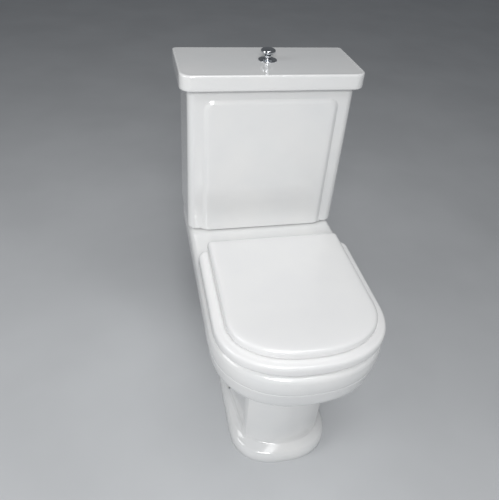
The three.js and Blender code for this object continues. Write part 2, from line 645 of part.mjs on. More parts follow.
function makeRing() {
  const plan = (inset) => seatOutline({
    half: RING_HALF - inset,
    back: RING_BACK + inset / 2,
    corner: 20,
    front: RING_FRONT - inset,
    length: RING_FRONT_LENGTH,
  });
  const thick = RING_TOP - RING_BOTTOM;
  const levels = [[0, 3], [0.08, 0.6], [0.3, 0], [0.52, 2], [0.75, 6.5], [0.92, 14], [1, 24]];
  const outer = loft(levels.map(([up, inset]) => ({ z: RING_BOTTOM + thick * up, outline: plan(inset) })));
  const hole = (out) => eggOutline({
    half: RING_HOLE_HALF + out,
    back: RING_HOLE_BACK - out,
    widest: (RING_HOLE_BACK + RING_HOLE_FRONT) / 2,
    front: RING_HOLE_FRONT + out,
  });
  const middle = loft([
    { z: RING_BOTTOM - 1, outline: hole(2) },
    { z: RING_BOTTOM + thick * 0.4, outline: hole(0) },
    { z: RING_BOTTOM + thick * 0.75, outline: hole(5) },
    { z: RING_TOP + 1, outline: hole(20) },
  ]);
  const notches = SIDES.map(([, side]) => {
    const [x0, x1] = [side * notchIn, side * notchOut].sort((a, b) => a - b);
    return box(x0, x1, RING_BACK - 2, HINGE_PLACE + 16, RING_BOTTOM - 1, RING_TOP + 1);
  });
  const knuckles = SIDES.map(([, side]) => {
    const ends = [side * (POST_OUTER + 1), side * (POST_OUTER + 1 + KNUCKLE_WIDTH)].sort((a, b) => a - b);
    const barrel = across(KNUCKLE_RADIUS, ...ends, HINGE_PLACE, HINGE_HEIGHT);
    const web = box(...ends, HINGE_PLACE, HINGE_PLACE + 20, HINGE_HEIGHT - 6, HINGE_HEIGHT + 6);
    return barrel.add(web);
  });
  const bores = SIDES.map(([, side]) => across(
    HINGE_PIN_RADIUS + SLIDE, side * POST_OUTER - 1, side * (POST_OUTER + KNUCKLE_WIDTH + 2),
    HINGE_PLACE, HINGE_HEIGHT, 16,
  ));
  return minus(together([minus(outer, [middle, ...notches]), ...knuckles]), bores);
}

function makeCover() {
  const plan = (inset) => seatOutline({
    half: COVER_HALF - inset,
    back: COVER_BACK + inset,
    corner: 16,
    front: COVER_FRONT - inset,
    length: COVER_FRONT_LENGTH,
  });
  const levels = [[0, 2], [0.12, 0], [0.35, 0], [0.6, 2.5], [0.8, 6.5], [0.93, 12], [1, 22]];
  const shell = loft(
    levels.map(([up, inset]) => ({ z: COVER_BOTTOM + COVER_THICK * up, outline: plan(inset) })),
  );
  const knuckles = SIDES.map(([, side]) => {
    const ends = [side * (POST_INNER - 1), side * (POST_INNER - 1 - KNUCKLE_WIDTH)].sort((a, b) => a - b);
    const barrel = across(KNUCKLE_RADIUS, ...ends, HINGE_PLACE, HINGE_HEIGHT);
    return barrel.add(box(...ends, HINGE_PLACE - 6, HINGE_PLACE + 7, HINGE_HEIGHT, COVER_BOTTOM + 4));
  });
  const bores = SIDES.map(([, side]) => across(
    HINGE_PIN_RADIUS + SLIDE, side * (POST_INNER - KNUCKLE_WIDTH - 2), side * POST_INNER,
    HINGE_PLACE, HINGE_HEIGHT, 16,
  ));
  const recess = loft([
    { z: COVER_BOTTOM - 1, outline: plan(COVER_RIM) },
    { z: COVER_BOTTOM + COVER_THICK - COVER_SKIN, outline: plan(COVER_RIM + 6) },
  ]);
  return minus(together([shell.subtract(recess), ...knuckles]), bores);
}

function makePost(side) {
  const ends = [side * POST_INNER, side * POST_OUTER].sort((a, b) => a - b);
  const barrel = across(KNUCKLE_RADIUS, ...ends, HINGE_PLACE, HINGE_HEIGHT);
  const leg = box(...ends, HINGE_PLACE - 7, HINGE_PLACE + 7, RIM_TOP + FIT, HINGE_HEIGHT);
  const foot = box(...ends, SEAT_BOLT_PLACE - 14, HINGE_PLACE + 7, RIM_TOP + FIT, RIM_TOP + 5);
  const middle = side * POST_MIDDLE;
  return minus(together([barrel, leg, foot]), [
    across(HINGE_PIN_RADIUS + SLIDE, ends[0] - 1, ends[1] + 1, HINGE_PLACE, HINGE_HEIGHT, 16),
    upright(SEAT_BOLT_RADIUS + SLIDE, middle, SEAT_BOLT_PLACE, RIM_TOP - 1, RIM_TOP + 6, 16),
  ]);
}

add('seat_ring', makeRing(), seatPlastic);
add('seat_cover', makeCover(), seatPlastic);

const ringMiddle = (RING_HALF + RING_HOLE_HALF) / 2;
const bufferPlaces = [
  ['back', ringMiddle, RING_HOLE_BACK + 40],
  ['front', ringMiddle - 27, RING_HOLE_FRONT - 18],
];
for (const [end, out, w] of bufferPlaces) {
  for (const [name, side] of SIDES) {
    const buffer = upright(RING_BUFFER_RADIUS, side * out, w, RIM_TOP + FIT, RING_BOTTOM - FIT, 16);
    add(`ring_buffer_${end}_${name}`, buffer, rubber);
  }
}
for (const [name, side] of SIDES) {
  const x = side * (ringMiddle - 20);
  const place = RING_HOLE_FRONT - 30;
  const buffer = upright(COVER_BUFFER_RADIUS, x, place, RING_TOP + FIT, COVER_BOTTOM - FIT, 16);
  add(`cover_buffer_${name}`, buffer, rubber);
}

// A wing nut that grips from below, its top at z.
function wingNut(radius, x, w, z) {
  const hub = turned([[radius, z], [radius + 6, z], [radius + 4, z - 10], [radius, z - 10]], 16, x, w);
  const span = radius + 11;
  const wings = box(x - 1.5, x + 1.5, w - span, w + span, z - 15, z - 3);
  return hub.add(wings).subtract(upright(radius, x, w, z - 16, z + 1, 16));
}

for (const [name, side] of SIDES) {
  const x = side * POST_MIDDLE;
  const ends = [side * (POST_INNER - KNUCKLE_WIDTH - 1.5), side * (POST_OUTER + KNUCKLE_WIDTH + 1.5)];
  const headBottom = RIM_TOP + 5 + FIT;
  add(`hinge_post_${name}`, makePost(side), chrome);
  const pin = across(HINGE_PIN_RADIUS, ...ends.sort((a, b) => a - b), HINGE_PLACE, HINGE_HEIGHT, 16);
  add(`hinge_pin_${name}`, pin, steel);
  add(`seat_bolt_${name}`, turned([
    [0, DECK_UNDER - 30], [SEAT_BOLT_RADIUS, DECK_UNDER - 30], [SEAT_BOLT_RADIUS, headBottom],
    [7, headBottom], [6, headBottom + 2], [0, headBottom + 2.4],
  ], 16, x, SEAT_BOLT_PLACE), steel);
  add(`seat_washer_${name}`, turned([
    [SEAT_BOLT_RADIUS + SLIDE, DECK_UNDER - FIT], [14, DECK_UNDER - FIT],
    [14, DECK_UNDER - 3], [SEAT_BOLT_RADIUS + SLIDE, DECK_UNDER - 3],
  ], 18, x, SEAT_BOLT_PLACE), rubber);
  const nut = wingNut(SEAT_BOLT_RADIUS + SLIDE, x, SEAT_BOLT_PLACE, DECK_UNDER - 3 - FIT);
  add(`seat_wing_nut_${name}`, nut, whiteNylon);
}

// ---------------------------------------------------------------- cistern to pan coupling

const gasketTop = RIM_TOP - 9;
const tailBottom = TANK_FLOOR_TOP - TAIL_LENGTH;

add('coupling_gasket', turned([
  [TAIL_RADIUS + 1, gasketTop], [TAIL_RADIUS + 17, gasketTop], [TAIL_RADIUS + 18, RIM_TOP - 22],
  [TAIL_RADIUS + 15, RIM_TOP - 28 + FIT], [TAIL_RADIUS + 1, RIM_TOP - 28 + FIT],
], 24, 0, VALVE_PLACE), rubber);

for (const [name, side] of SIDES) {
  const x = side * COUPLING_BOLT_OUT;
  const bore = COUPLING_BOLT_RADIUS + SLIDE;
  const ring = (radius, z0, z1) =>
    turned([[bore, z0], [radius, z0], [radius, z1], [bore, z1]], 18, x, VALVE_PLACE);
  const headBottom = TANK_FLOOR_TOP + 5 + FIT;
  add(`coupling_bolt_${name}`, turned([
    [0, DECK_UNDER - 28], [COUPLING_BOLT_RADIUS, DECK_UNDER - 28], [COUPLING_BOLT_RADIUS, headBottom],
    [8, headBottom], [8, headBottom + 3], [5, headBottom + 5], [0, headBottom + 5],
  ], 16, x, VALVE_PLACE), brass);
  add(`coupling_head_washer_${name}`, ring(12, TANK_FLOOR_TOP + FIT, TANK_FLOOR_TOP + 5), rubber);
  add(`coupling_pad_${name}`, ring(16, RIM_TOP + FIT, TANK_BOTTOM - FIT), rubber);
  add(`coupling_wing_nut_${name}`, wingNut(bore, x, VALVE_PLACE, DECK_UNDER - FIT), brass);
}

// ---------------------------------------------------------------- flush valve and knob

const tailBore = TAIL_RADIUS - TAIL_WALL;
const flangeBottom = TANK_FLOOR_TOP + 3 + FIT;
const valveFlange = TAIL_RADIUS + 13;
const legOut = TAIL_RADIUS + 11;

function makeValveBody() {
  const base = turned([
    [tailBore, tailBottom], [TAIL_RADIUS, tailBottom],
    [TAIL_RADIUS, flangeBottom], [valveFlange, flangeBottom],
    [valveFlange, flangeBottom + 5], [TAIL_RADIUS + 3, flangeBottom + 5], [TAIL_RADIUS, VALVE_SEAT - FIT],
    [tailBore, VALVE_SEAT - FIT],
  ], 24, 0, VALVE_PLACE);
  const guideBore = VALVE_TUBE_RADIUS + 0.6;
  const guide = turned([
    [guideBore, VALVE_SEAT + 66], [guideBore + 5, VALVE_SEAT + 66],
    [guideBore + 5, VALVE_SEAT + 78], [guideBore, VALVE_SEAT + 78],
  ], 24, 0, VALVE_PLACE);
  const legs = [-1, 1].map((side) => {
    const [x0, x1] = [side * (legOut - 4), side * legOut].sort((a, b) => a - b);
    const [a0, a1] = [side * (guideBore + 2), side * legOut].sort((a, b) => a - b);
    const leg = box(x0, x1, VALVE_PLACE - 6, VALVE_PLACE + 6, flangeBottom + 2, VALVE_SEAT + 78);
    return leg.add(box(a0, a1, VALVE_PLACE - 6, VALVE_PLACE + 6, VALVE_SEAT + 72, VALVE_SEAT + 78));
  });
  return together([base, guide, ...legs]);
}

function makeBell() {
  const tube = turned([
    [VALVE_TUBE_RADIUS - 2.5, VALVE_SEAT + 4],
    [TAIL_RADIUS + 3, VALVE_SEAT + 4], [TAIL_RADIUS + 3, VALVE_SEAT + 9],
    [VALVE_TUBE_RADIUS, VALVE_SEAT + 14], [VALVE_TUBE_RADIUS, VALVE_TUBE_TOP],
    [ROD_RADIUS + SLIDE, VALVE_TUBE_TOP], [ROD_RADIUS + SLIDE, VALVE_TUBE_TOP - 10],
    [VALVE_TUBE_RADIUS - 2.5, VALVE_TUBE_TOP - 10],
  ], 24, 0, VALVE_PLACE);
  return tube.subtract(box(
    -20, 20, VALVE_PLACE - 5, VALVE_PLACE + 5, VALVE_TUBE_TOP - 40, VALVE_TUBE_TOP - 22,
  ));
}

add('flush_valve_body', makeValveBody(), whiteNylon);
add('flush_valve_washer', turned([
  [TAIL_RADIUS + SLIDE, TANK_FLOOR_TOP + FIT], [TAIL_RADIUS + 11, TANK_FLOOR_TOP + FIT],
  [TAIL_RADIUS + 11, flangeBottom - FIT], [TAIL_RADIUS + SLIDE, flangeBottom - FIT],
], 24, 0, VALVE_PLACE), rubber);
add('flush_valve_backnut', upright(TAIL_RADIUS + 12, 0, VALVE_PLACE, gasketTop + FIT, TANK_BOTTOM - FIT, 12)
  .subtract(upright(TAIL_RADIUS + SLIDE, 0, VALVE_PLACE, gasketTop, TANK_BOTTOM, 32)), whiteNylon);
add('flush_valve_bell', makeBell(), whiteNylon);
add('flush_valve_seal', turned([
  [VALVE_TUBE_RADIUS, VALVE_SEAT], [TAIL_RADIUS + 6, VALVE_SEAT], [TAIL_RADIUS + 6, VALVE_SEAT + 4 - FIT],
  [VALVE_TUBE_RADIUS, VALVE_SEAT + 4 - FIT],
], 24, 0, VALVE_PLACE), rubber);

const plateTop = LID_TOP + ESCUTCHEON_HEIGHT;
const knobBottom = plateTop + 2 * FIT;
const knobTop = knobBottom + KNOB_HEIGHT;

add('knob_escutcheon', turned([
  [ROD_RADIUS + SLIDE, LID_TOP - 26], [SLEEVE_RADIUS, LID_TOP - 26], [SLEEVE_RADIUS, LID_TOP + FIT],
  [ESCUTCHEON_RADIUS, LID_TOP + FIT], [ESCUTCHEON_RADIUS - 2, LID_TOP + 3], [12, plateTop],
  [ROD_RADIUS + SLIDE, plateTop],
], 24, 0, VALVE_PLACE), chrome);
const nutHole = upright(SLEEVE_RADIUS + SLIDE, 0, VALVE_PLACE, LID_PLATE_BOTTOM - 7, LID_PLATE_BOTTOM, 32);
const nutBlank = upright(13, 0, VALVE_PLACE, LID_PLATE_BOTTOM - 6, LID_PLATE_BOTTOM - FIT, 6);
add('escutcheon_nut', nutBlank.subtract(nutHole), steel);
add('flush_knob', turned([
  [ROD_RADIUS + SLIDE, knobBottom], [7, knobBottom], [7, knobBottom + 6], [KNOB_RADIUS - 3, knobTop - 11],
  [KNOB_RADIUS, knobTop - 8], [KNOB_RADIUS, knobTop - 4], [KNOB_RADIUS - 4, knobTop - 0.6], [0, knobTop],
  [0, knobBottom + 12], [ROD_RADIUS + SLIDE, knobBottom + 12],
], 24, 0, VALVE_PLACE), chrome);
const rodEnds = [VALVE_TUBE_TOP - ROD_REACH, knobBottom + 12 - FIT];
add('lift_rod', upright(ROD_RADIUS, 0, VALVE_PLACE, ...rodEnds, 12), brass);

// ---------------------------------------------------------------- inlet valve and float

const pivotHeight = INLET_HEIGHT - PIVOT_DROP;
const flangeOut = INLET_WALL - 3 - FIT;
const fingerOut = PIVOT_OUT - 26.3;

function makeInletBody() {
  const barrel = across(INLET_BARREL, PIVOT_OUT - 12, flangeOut, INLET_PLACE, INLET_HEIGHT);
  const flange = across(INLET_RADIUS + 6, flangeOut - 4, flangeOut, INLET_PLACE, INLET_HEIGHT);
  const tail = across(INLET_RADIUS, flangeOut - 1, INLET_END, INLET_PLACE, INLET_HEIGHT);
  const forks = [-1, 1].map((side) => {
    const [w0, w1] = [INLET_PLACE + side * 7, INLET_PLACE + side * 10].sort((a, b) => a - b);
    return box(PIVOT_OUT - 6, PIVOT_OUT + 6, w0, w1, pivotHeight - 6, INLET_HEIGHT - 2);
  });
  return minus(together([barrel, flange, tail, ...forks]), [
    across(PISTON_RADIUS + SLIDE, PIVOT_OUT - 13, flangeOut - 4, INLET_PLACE, INLET_HEIGHT, 16),
    across(4, flangeOut - 5, INLET_END + 1, INLET_PLACE, INLET_HEIGHT, 12),
    along(2 + SLIDE, PIVOT_OUT, INLET_PLACE - 12, INLET_PLACE + 12, pivotHeight, 12),
  ]);
}

function makeFloatArm() {
  const droop = THREE.MathUtils.degToRad(ARM_DROOP);
  const length = ARM_LENGTH - FLOAT_RADIUS + 4;
  const bar = new THREE.CylinderGeometry(3, 3, length, 10);
  bar.rotateZ(Math.PI / 2);
  bar.translate(-length / 2, 0, 0);
  bar.rotateY(-droop);
  bar.translate(PIVOT_OUT, WALL - INLET_PLACE, pivotHeight);
  const hub = along(6, PIVOT_OUT, INLET_PLACE - 6, INLET_PLACE + 6, pivotHeight, 16);
  const finger = box(
    fingerOut - 5, fingerOut, INLET_PLACE - 4, INLET_PLACE + 4,
    pivotHeight - Math.tan(droop) * (PIVOT_OUT - fingerOut) - 2, INLET_HEIGHT + 5,
  );
  return together([solid(bar), hub, finger])
    .subtract(along(2 + SLIDE, PIVOT_OUT, INLET_PLACE - 12, INLET_PLACE + 12, pivotHeight, 12));
}

function makeFloat() {
  const droop = THREE.MathUtils.degToRad(ARM_DROOP);
  const ball = new THREE.SphereGeometry(FLOAT_RADIUS, 18, 10);
  const centreX = PIVOT_OUT - Math.cos(droop) * ARM_LENGTH;
  const centreZ = pivotHeight - Math.sin(droop) * ARM_LENGTH;
  ball.translate(centreX, WALL - INLET_PLACE, centreZ);
  const socket = new THREE.CylinderGeometry(3 + SLIDE, 3 + SLIDE, 16, 12);
  socket.rotateZ(Math.PI / 2);
  socket.translate(FLOAT_RADIUS, 0, 0);
  socket.rotateY(-droop);
  socket.translate(centreX, WALL - INLET_PLACE, centreZ);
  return solid(ball).subtract(solid(socket));
}

add('inlet_valve_body', makeInletBody(), brass);
add('inlet_washer', across(INLET_RADIUS + 5, flangeOut + FIT, INLET_WALL - FIT, INLET_PLACE, INLET_HEIGHT)
  .subtract(across(INLET_RADIUS + SLIDE, flangeOut, INLET_WALL, INLET_PLACE, INLET_HEIGHT)), rubber);
add('inlet_backnut', across(INLET_RADIUS + 6, TANK_HALF + FIT, TANK_HALF + 8, INLET_PLACE, INLET_HEIGHT, 6)
  .subtract(across(INLET_RADIUS + SLIDE, TANK_HALF, TANK_HALF + 9, INLET_PLACE, INLET_HEIGHT)), brass);
add('inlet_piston', across(
  PISTON_RADIUS, fingerOut + 1.2, flangeOut - 14, INLET_PLACE, INLET_HEIGHT, 16,
), brass);
add('float_arm', makeFloatArm(), brass);
add('float_pivot_pin', along(2, PIVOT_OUT, INLET_PLACE - 11, INLET_PLACE + 11, pivotHeight, 12), steel);
add('float_ball', makeFloat(), floatPlastic);

// ---------------------------------------------------------------- side fixings inside the skirt

const bracketOut = SKIRT_HALF - CHINA - 8;
for (const [name, side] of SIDES) {
  const sorted = (a, b) => [side * a, side * b].sort((p, q) => p - q);
  const plate = box(
    ...sorted(bracketOut - BRACKET_THICK, bracketOut), SIDE_SCREW_PLACE - 18, SIDE_SCREW_PLACE + 18,
    0, SIDE_SCREW_HEIGHT + 18,
  );
  const foot = box(
    ...sorted(bracketOut - 34, bracketOut), SIDE_SCREW_PLACE - 18, SIDE_SCREW_PLACE + 18, 0, BRACKET_THICK,
  );
  const hole = across(
    SIDE_SCREW_RADIUS + 2.5, ...sorted(bracketOut - 10, bracketOut + 10),
    SIDE_SCREW_PLACE, SIDE_SCREW_HEIGHT, 14,
  );
  add(`floor_bracket_${name}`, plate.add(foot).subtract(hole), steel);
  const bush = across(
    SIDE_SCREW_RADIUS + 2.5 - FIT, ...sorted(bracketOut - 12, bracketOut + 3),
    SIDE_SCREW_PLACE, SIDE_SCREW_HEIGHT, 14,
  ).subtract(across(
    SIDE_SCREW_RADIUS + SLIDE, ...sorted(bracketOut - 13, bracketOut + 4),
    SIDE_SCREW_PLACE, SIDE_SCREW_HEIGHT, 14,
  ));
  add(`side_bush_${name}`, bush, whiteNylon);
  const shank = across(
    SIDE_SCREW_RADIUS, ...sorted(bracketOut - 16, SKIRT_HALF + 2), SIDE_SCREW_PLACE, SIDE_SCREW_HEIGHT, 14,
  );
  const head = across(
    7.5, ...sorted(SKIRT_HALF + 1, SKIRT_HALF + 4), SIDE_SCREW_PLACE, SIDE_SCREW_HEIGHT, 20,
  );
  add(`side_screw_${name}`, shank.add(head), chrome);
}

export default part;
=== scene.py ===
"""A close coupled toilet: smooth glazed pan and cistern, two-tier seat, chrome flush knob and fittings.

Lengths in the piece functions are millimetres. A place is (x, w, z), where w is the distance
forward from the wall, and at() turns it into the frame's metres.
"""

import json
import math
from collections import namedtuple

import bmesh
import bpy
from bpy.props import FloatProperty, PointerProperty
from mathutils import Matrix, Vector


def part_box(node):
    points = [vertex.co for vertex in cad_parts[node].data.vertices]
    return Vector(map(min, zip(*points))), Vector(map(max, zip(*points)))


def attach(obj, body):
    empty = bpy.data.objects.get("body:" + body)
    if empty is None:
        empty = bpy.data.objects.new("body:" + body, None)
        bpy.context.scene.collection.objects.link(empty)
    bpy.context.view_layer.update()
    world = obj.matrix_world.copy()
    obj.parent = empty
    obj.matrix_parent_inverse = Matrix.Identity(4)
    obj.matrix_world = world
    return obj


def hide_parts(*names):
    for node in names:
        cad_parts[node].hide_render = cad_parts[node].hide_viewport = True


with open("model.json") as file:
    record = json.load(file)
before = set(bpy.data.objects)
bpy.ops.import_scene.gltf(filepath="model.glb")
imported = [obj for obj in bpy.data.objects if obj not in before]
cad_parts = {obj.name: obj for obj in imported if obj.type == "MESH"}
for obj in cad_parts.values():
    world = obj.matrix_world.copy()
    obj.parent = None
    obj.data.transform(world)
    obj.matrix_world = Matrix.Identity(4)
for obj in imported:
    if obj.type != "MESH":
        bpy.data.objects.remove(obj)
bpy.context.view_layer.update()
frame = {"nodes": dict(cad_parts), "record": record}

bl_info = {
    "name": "Close Coupled Toilet",
    "version": (1, 0, 0),
    "blender": (4, 5, 0),
    "location": "View3D > Sidebar > Toilet",
    "description": "Builds the smooth pieces, finishes and studio of a close coupled toilet",
    "category": "Add Mesh",
}

# ---------------------------------------------------------------- places

MM = 0.001
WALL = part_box("cistern_lid")[1].y
Span = namedtuple("Span", "left right back front low high")


def span(node):
    """The sides of a CAD node's box, in millimetres, front and back measured from the wall."""
    low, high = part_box(node)
    return Span(
        low.x / MM, high.x / MM, (WALL - high.y) / MM, (WALL - low.y) / MM, low.z / MM, high.z / MM
    )


def at(x, w, z):
    return Vector((x * MM, WALL - w * MM, z * MM))


PAN = span("pan_rim")._replace(back=span("pan_deck").back)
TANK = span("cistern_tank")
LID = span("cistern_lid")
RING = span("seat_ring")
COVER = span("seat_cover")
PIN = span("hinge_pin_right")
POST = span("hinge_post_right")
KNOB = span("flush_knob")
ESCUTCHEON = span("knob_escutcheon")
VALVE = span("flush_valve_body")
RIM_TOP = PAN.high
RIM_HALF = PAN.right
HINGE_W = (PIN.back + PIN.front) / 2
HINGE_Z = (PIN.low + PIN.high) / 2
VALVE_W = (VALVE.back + VALVE.front) / 2

# ---------------------------------------------------------------- settings


class ToiletSettings(bpy.types.PropertyGroup):
    """Sizes and light that can be changed before the pieces are built."""

    china_wall: FloatProperty(
        name="China wall", description="Thickness of the pan's walls", default=0.010, unit="LENGTH"
    )
    plinth_height: FloatProperty(
        name="Plinth height", description="Floor to the top of the foot", default=0.032, unit="LENGTH"
    )
    panel_raise: FloatProperty(
        name="Panel raise", description="How far the cistern's panel stands out",
        default=0.005, unit="LENGTH",
    )
    lamp_power: FloatProperty(
        name="Lamp power", description="Strength of the main studio lamp", default=33.0, unit="POWER"
    )


# ---------------------------------------------------------------- curves and outlines


def eased(table, place):
    """The value at a place in (place, value) pairs, on a smooth curve that never overshoots."""
    places = [p for p, _ in table]
    values = [v for _, v in table]
    if place <= places[0]:
        return values[0]
    if place >= places[-1]:
        return values[-1]
    k = max(i for i in range(len(places) - 1) if places[i] <= place)
    gaps = [b - a for a, b in zip(places, places[1:])]
    slopes = [(b - a) / g for a, b, g in zip(values, values[1:], gaps)]

    def tangent(i):
        if i == 0 or i == len(slopes):
            return slopes[min(i, len(slopes) - 1)]
        if slopes[i - 1] * slopes[i] <= 0:
            return 0
        first, second = 2 * gaps[i] + gaps[i - 1], gaps[i] + 2 * gaps[i - 1]
        return (first + second) / (first / slopes[i - 1] + second / slopes[i])

    t = (place - places[k]) / gaps[k]
    return (
        values[k] * (1 + 2 * t) * (1 - t) ** 2
        + gaps[k] * tangent(k) * t * (1 - t) ** 2
        + values[k + 1] * t * t * (3 - 2 * t)
        - gaps[k] * tangent(k + 1) * t * t * (1 - t)
    )


def smooth_line(points, steps=3):
    """Points along a smooth curve through the given (a, b) pairs."""
    line = []
    for i in range(len(points) - 1):
        p0, p1 = points[max(i - 1, 0)], points[i]
        p2, p3 = points[i + 1], points[min(i + 2, len(points) - 1)]
        for s in range(steps):
            t = s / steps
            line.append(tuple(
                0.5 * (
                    2 * b + (c - a) * t + (2 * a - 5 * b + 4 * c - d) * t * t
                    + (3 * b - a - 3 * c + d) * t ** 3
                )
                for a, b, c, d in zip(p0, p1, p2, p3)
            ))
    return line + [tuple(points[-1])]


def between(a, b, count):
    """Evenly spaced values from a up to, but without, b."""
    return [a + (b - a) * i / count for i in range(count)]


def whole(half):
    """Half an outline, from its back middle to its front middle, made whole."""
    return half + [(-x, w) for x, w in reversed(half[1:-1])]


def quarter(share, half, length, power):
    angle = share * math.pi / 2
    return half * abs(math.cos(angle)) ** (2 / power), length * math.sin(angle) ** (2 / power)


def arc(x, w, radius, start, end, steps):
    """Points on an arc of a plan, the angles in degrees from +X towards the front."""
    return [
        (x + radius * math.cos(math.radians(a)), w + radius * math.sin(math.radians(a)))
        for a in between(start, end, steps)
    ]


def pan_outline(plan):
    """The pan's outline at one height: a skirt, a shoulder where it narrows, a corner and a front.
    A plan is (back, half, shoulder, half at the corner, corner, front, power, crease)."""
    back, half, shoulder, corner_half, corner, front, power, crease = plan
    rear = 14
    line = [(x, back) for x in between(0, half - rear, 5)]
    line += arc(half - rear, back + rear, rear, -90, 0, 5)
    line += [(half, w) for w in between(back + rear, shoulder, 9)]
    for t in between(0, 1, 5):
        line.append((half + (corner_half - half) * t, shoulder + (corner - shoulder) * t))
    for i in range(21):
        x, w = quarter(i / 20, corner_half, front - corner, power)
        bow = (front - corner) * (1 - (x / corner_half) ** 2)
        line.append((x, corner + w + (bow - w) * crease))
    return whole(line)


def seat_outline(half, back, corner, front, length, notch=None):
    """Straight back with round corners, straight sides and a round front. A notch is how far forward
    the back steps in, on each side, to clear the hinges."""
    end = half - corner
    line = []
    places = between(0, end - 0.5, 11) + [end - 0.5]
    if notch:
        places = [0, 24, 48, 49.6, 50.4, 63, 77, 91, 104.6, 116, (116 + end) / 2, end - 0.5]
    for x in places:
        line.append((x, max(back, notch) if notch and 50 < x < 105 else back))
    line += arc(half - corner, back + corner, corner, -90, 0, 8)
    line += [(half, w) for w in between(back + corner, front - length, 8)]
    for i in range(29):
        x, w = quarter(i / 28, half, length, 2.3)
        line.append((x, front - length + w))
    return whole(line)


def egg_outline(angles, half, back, widest, front, power=2.2):
    """An egg, round at the back and the front, with a point in each of the given directions."""
    line = []
    for angle in angles:
        across, along = math.sin(angle), math.cos(angle)
        length = front - widest if along > 0 else widest - back
        reach = (abs(across / half) ** power + abs(along / length) ** power) ** (-1 / power)
        line.append((across * reach, widest + along * reach))
    return line


def directions(outline, middle):
    """The direction of each point of an outline as seen from (0, middle)."""
    return [math.atan2(x, w - middle) for x, w in outline]


def rounded_box(half, back, front, back_corner, front_corner, side_steps=8):
    """A rounded rectangle in plan, from its back middle round to its front middle and on."""
    line = [(x, back) for x in between(0, half - back_corner, 6)]
    line += arc(half - back_corner, back + back_corner, back_corner, -90, 0, 7)
    line += [(half, w) for w in between(back + back_corner, front - front_corner, side_steps)]
    line += arc(half - front_corner, front - front_corner, front_corner, 0, 90, 9)
    line += [(x, front) for x in between(half - front_corner, 0, 6)] + [(0, front)]
    return whole(line)


# ---------------------------------------------------------------- mesh building


def first_ring(bm, points):
    """A closed ring of edges through the points."""
    ring = bmesh.ops.create_circle(bm, cap_ends=False, segments=len(points), radius=1.0)["verts"]
    for vert, point in zip(ring, points):
        vert.co = point
    return ring


def next_ring(bm, ring, points):
    """Extrudes the ring to the points, one for each of its corners."""
    count = len(ring)
    edges = [bm.edges.get((ring[i], ring[(i + 1) % count])) for i in range(count)]
    grown = bmesh.ops.extrude_edge_only(bm, edges=edges)["geom"]
    fresh = {item for item in grown if isinstance(item, bmesh.types.BMVert)}
    following = []
    for vert, point in zip(ring, points):
        other = next(e.other_vert(vert) for e in vert.link_edges if e.other_vert(vert) in fresh)
        other.co = point
        following.append(other)
    return following


def skin(bm, rings, ends="capped"):
    """A skin over rings of points, its two ends capped, or joined to each other."""
    rings = rings + [rings[0]] if ends == "joined" else rings
    ring = start = first_ring(bm, rings[0])
    for points in rings[1:]:
        ring = next_ring(bm, ring, points)
    if ends == "capped":
        for corners in (start, ring):
            count = len(corners)
            edges = [bm.edges.get((corners[i], corners[(i + 1) % count])) for i in range(count)]
            bmesh.ops.contextual_create(bm, geom=edges)


def flat_rings(levels):
    """Level rings of points from (z, outline) pairs."""
    return [[at(x, w, z) for x, w in outline] for z, outline in levels]


def spun(bm, points, closed, centre, axis, steps):
    """Turns a line of points once round an axis, merged where it meets itself."""
    verts = [bm.verts.new(point) for point in points]
    edges = [bm.edges.new(pair) for pair in zip(verts, verts[1:])]
    if closed:
        edges.append(bm.edges.new((verts[-1], verts[0])))
    bmesh.ops.spin(
        bm, geom=verts + edges, cent=centre, axis=axis, angle=2 * math.pi, steps=steps, use_merge=True
    )


def turned(bm, profile, x, w, steps=64):
    """A solid of revolution about the upright through (x, w), from (radius, z) pairs."""
    closed = profile[0][0] > 0.01 and profile[-1][0] > 0.01
    spun(bm, [at(x + radius, w, z) for radius, z in profile], closed, at(x, w, 0), (0, 0, 1), steps)


def turned_across(bm, profile, w, z, steps=40):
    """A solid of revolution about the level line along X through (w, z), from (radius, x) pairs."""
    closed = profile[0][0] > 0.01 and profile[-1][0] > 0.01
    spun(bm, [at(x, w, z + radius) for radius, x in profile], closed, at(0, w, z), (1, 0, 0), steps)


def block(bm, low, high, edge=1.0):
    """A block with softened edges between two corners."""
    a, b = at(*low), at(*high)
    size = Vector((abs(b.x - a.x), abs(b.y - a.y), abs(b.z - a.z)))
    place = Matrix.Translation((a + b) / 2) @ Matrix.Diagonal((*size, 1))
    made = bmesh.ops.create_cube(bm, size=1.0, matrix=place)["verts"]
    edges = list({e for v in made for e in v.link_edges})
    bmesh.ops.bevel(
        bm, geom=edges, offset=edge * MM, segments=3, profile=0.5, affect="EDGES", material=-1,
        clamp_overlap=True,
    )


def finished(bm, name, body, material, replaced=()):
    """Makes the mesh an object that rides on a body and stands for the CAD nodes."""
    bmesh.ops.remove_doubles(bm, verts=bm.verts, dist=1e-6)
    bmesh.ops.recalc_face_normals(bm, faces=bm.faces)
    for face in bm.faces:
        face.smooth = True
    mesh = bpy.data.meshes.new(name)
    bm.to_mesh(mesh)
    bm.free()
    piece = bpy.data.objects.new(name, mesh)
    bpy.context.scene.collection.objects.link(piece)
    mesh.materials.append(material)
    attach(piece, body)
    if replaced:
        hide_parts(*replaced)


# ---------------------------------------------------------------- finishes


def linear(code, alpha=1.0):
    """A colour for the shader from an sRGB hex value."""
    parts = [int(code[i:i + 2], 16) / 255 for i in (1, 3, 5)]
    return (*[p / 12.92 if p <= 0.04045 else ((p + 0.055) / 1.055) ** 2.4 for p in parts], alpha)


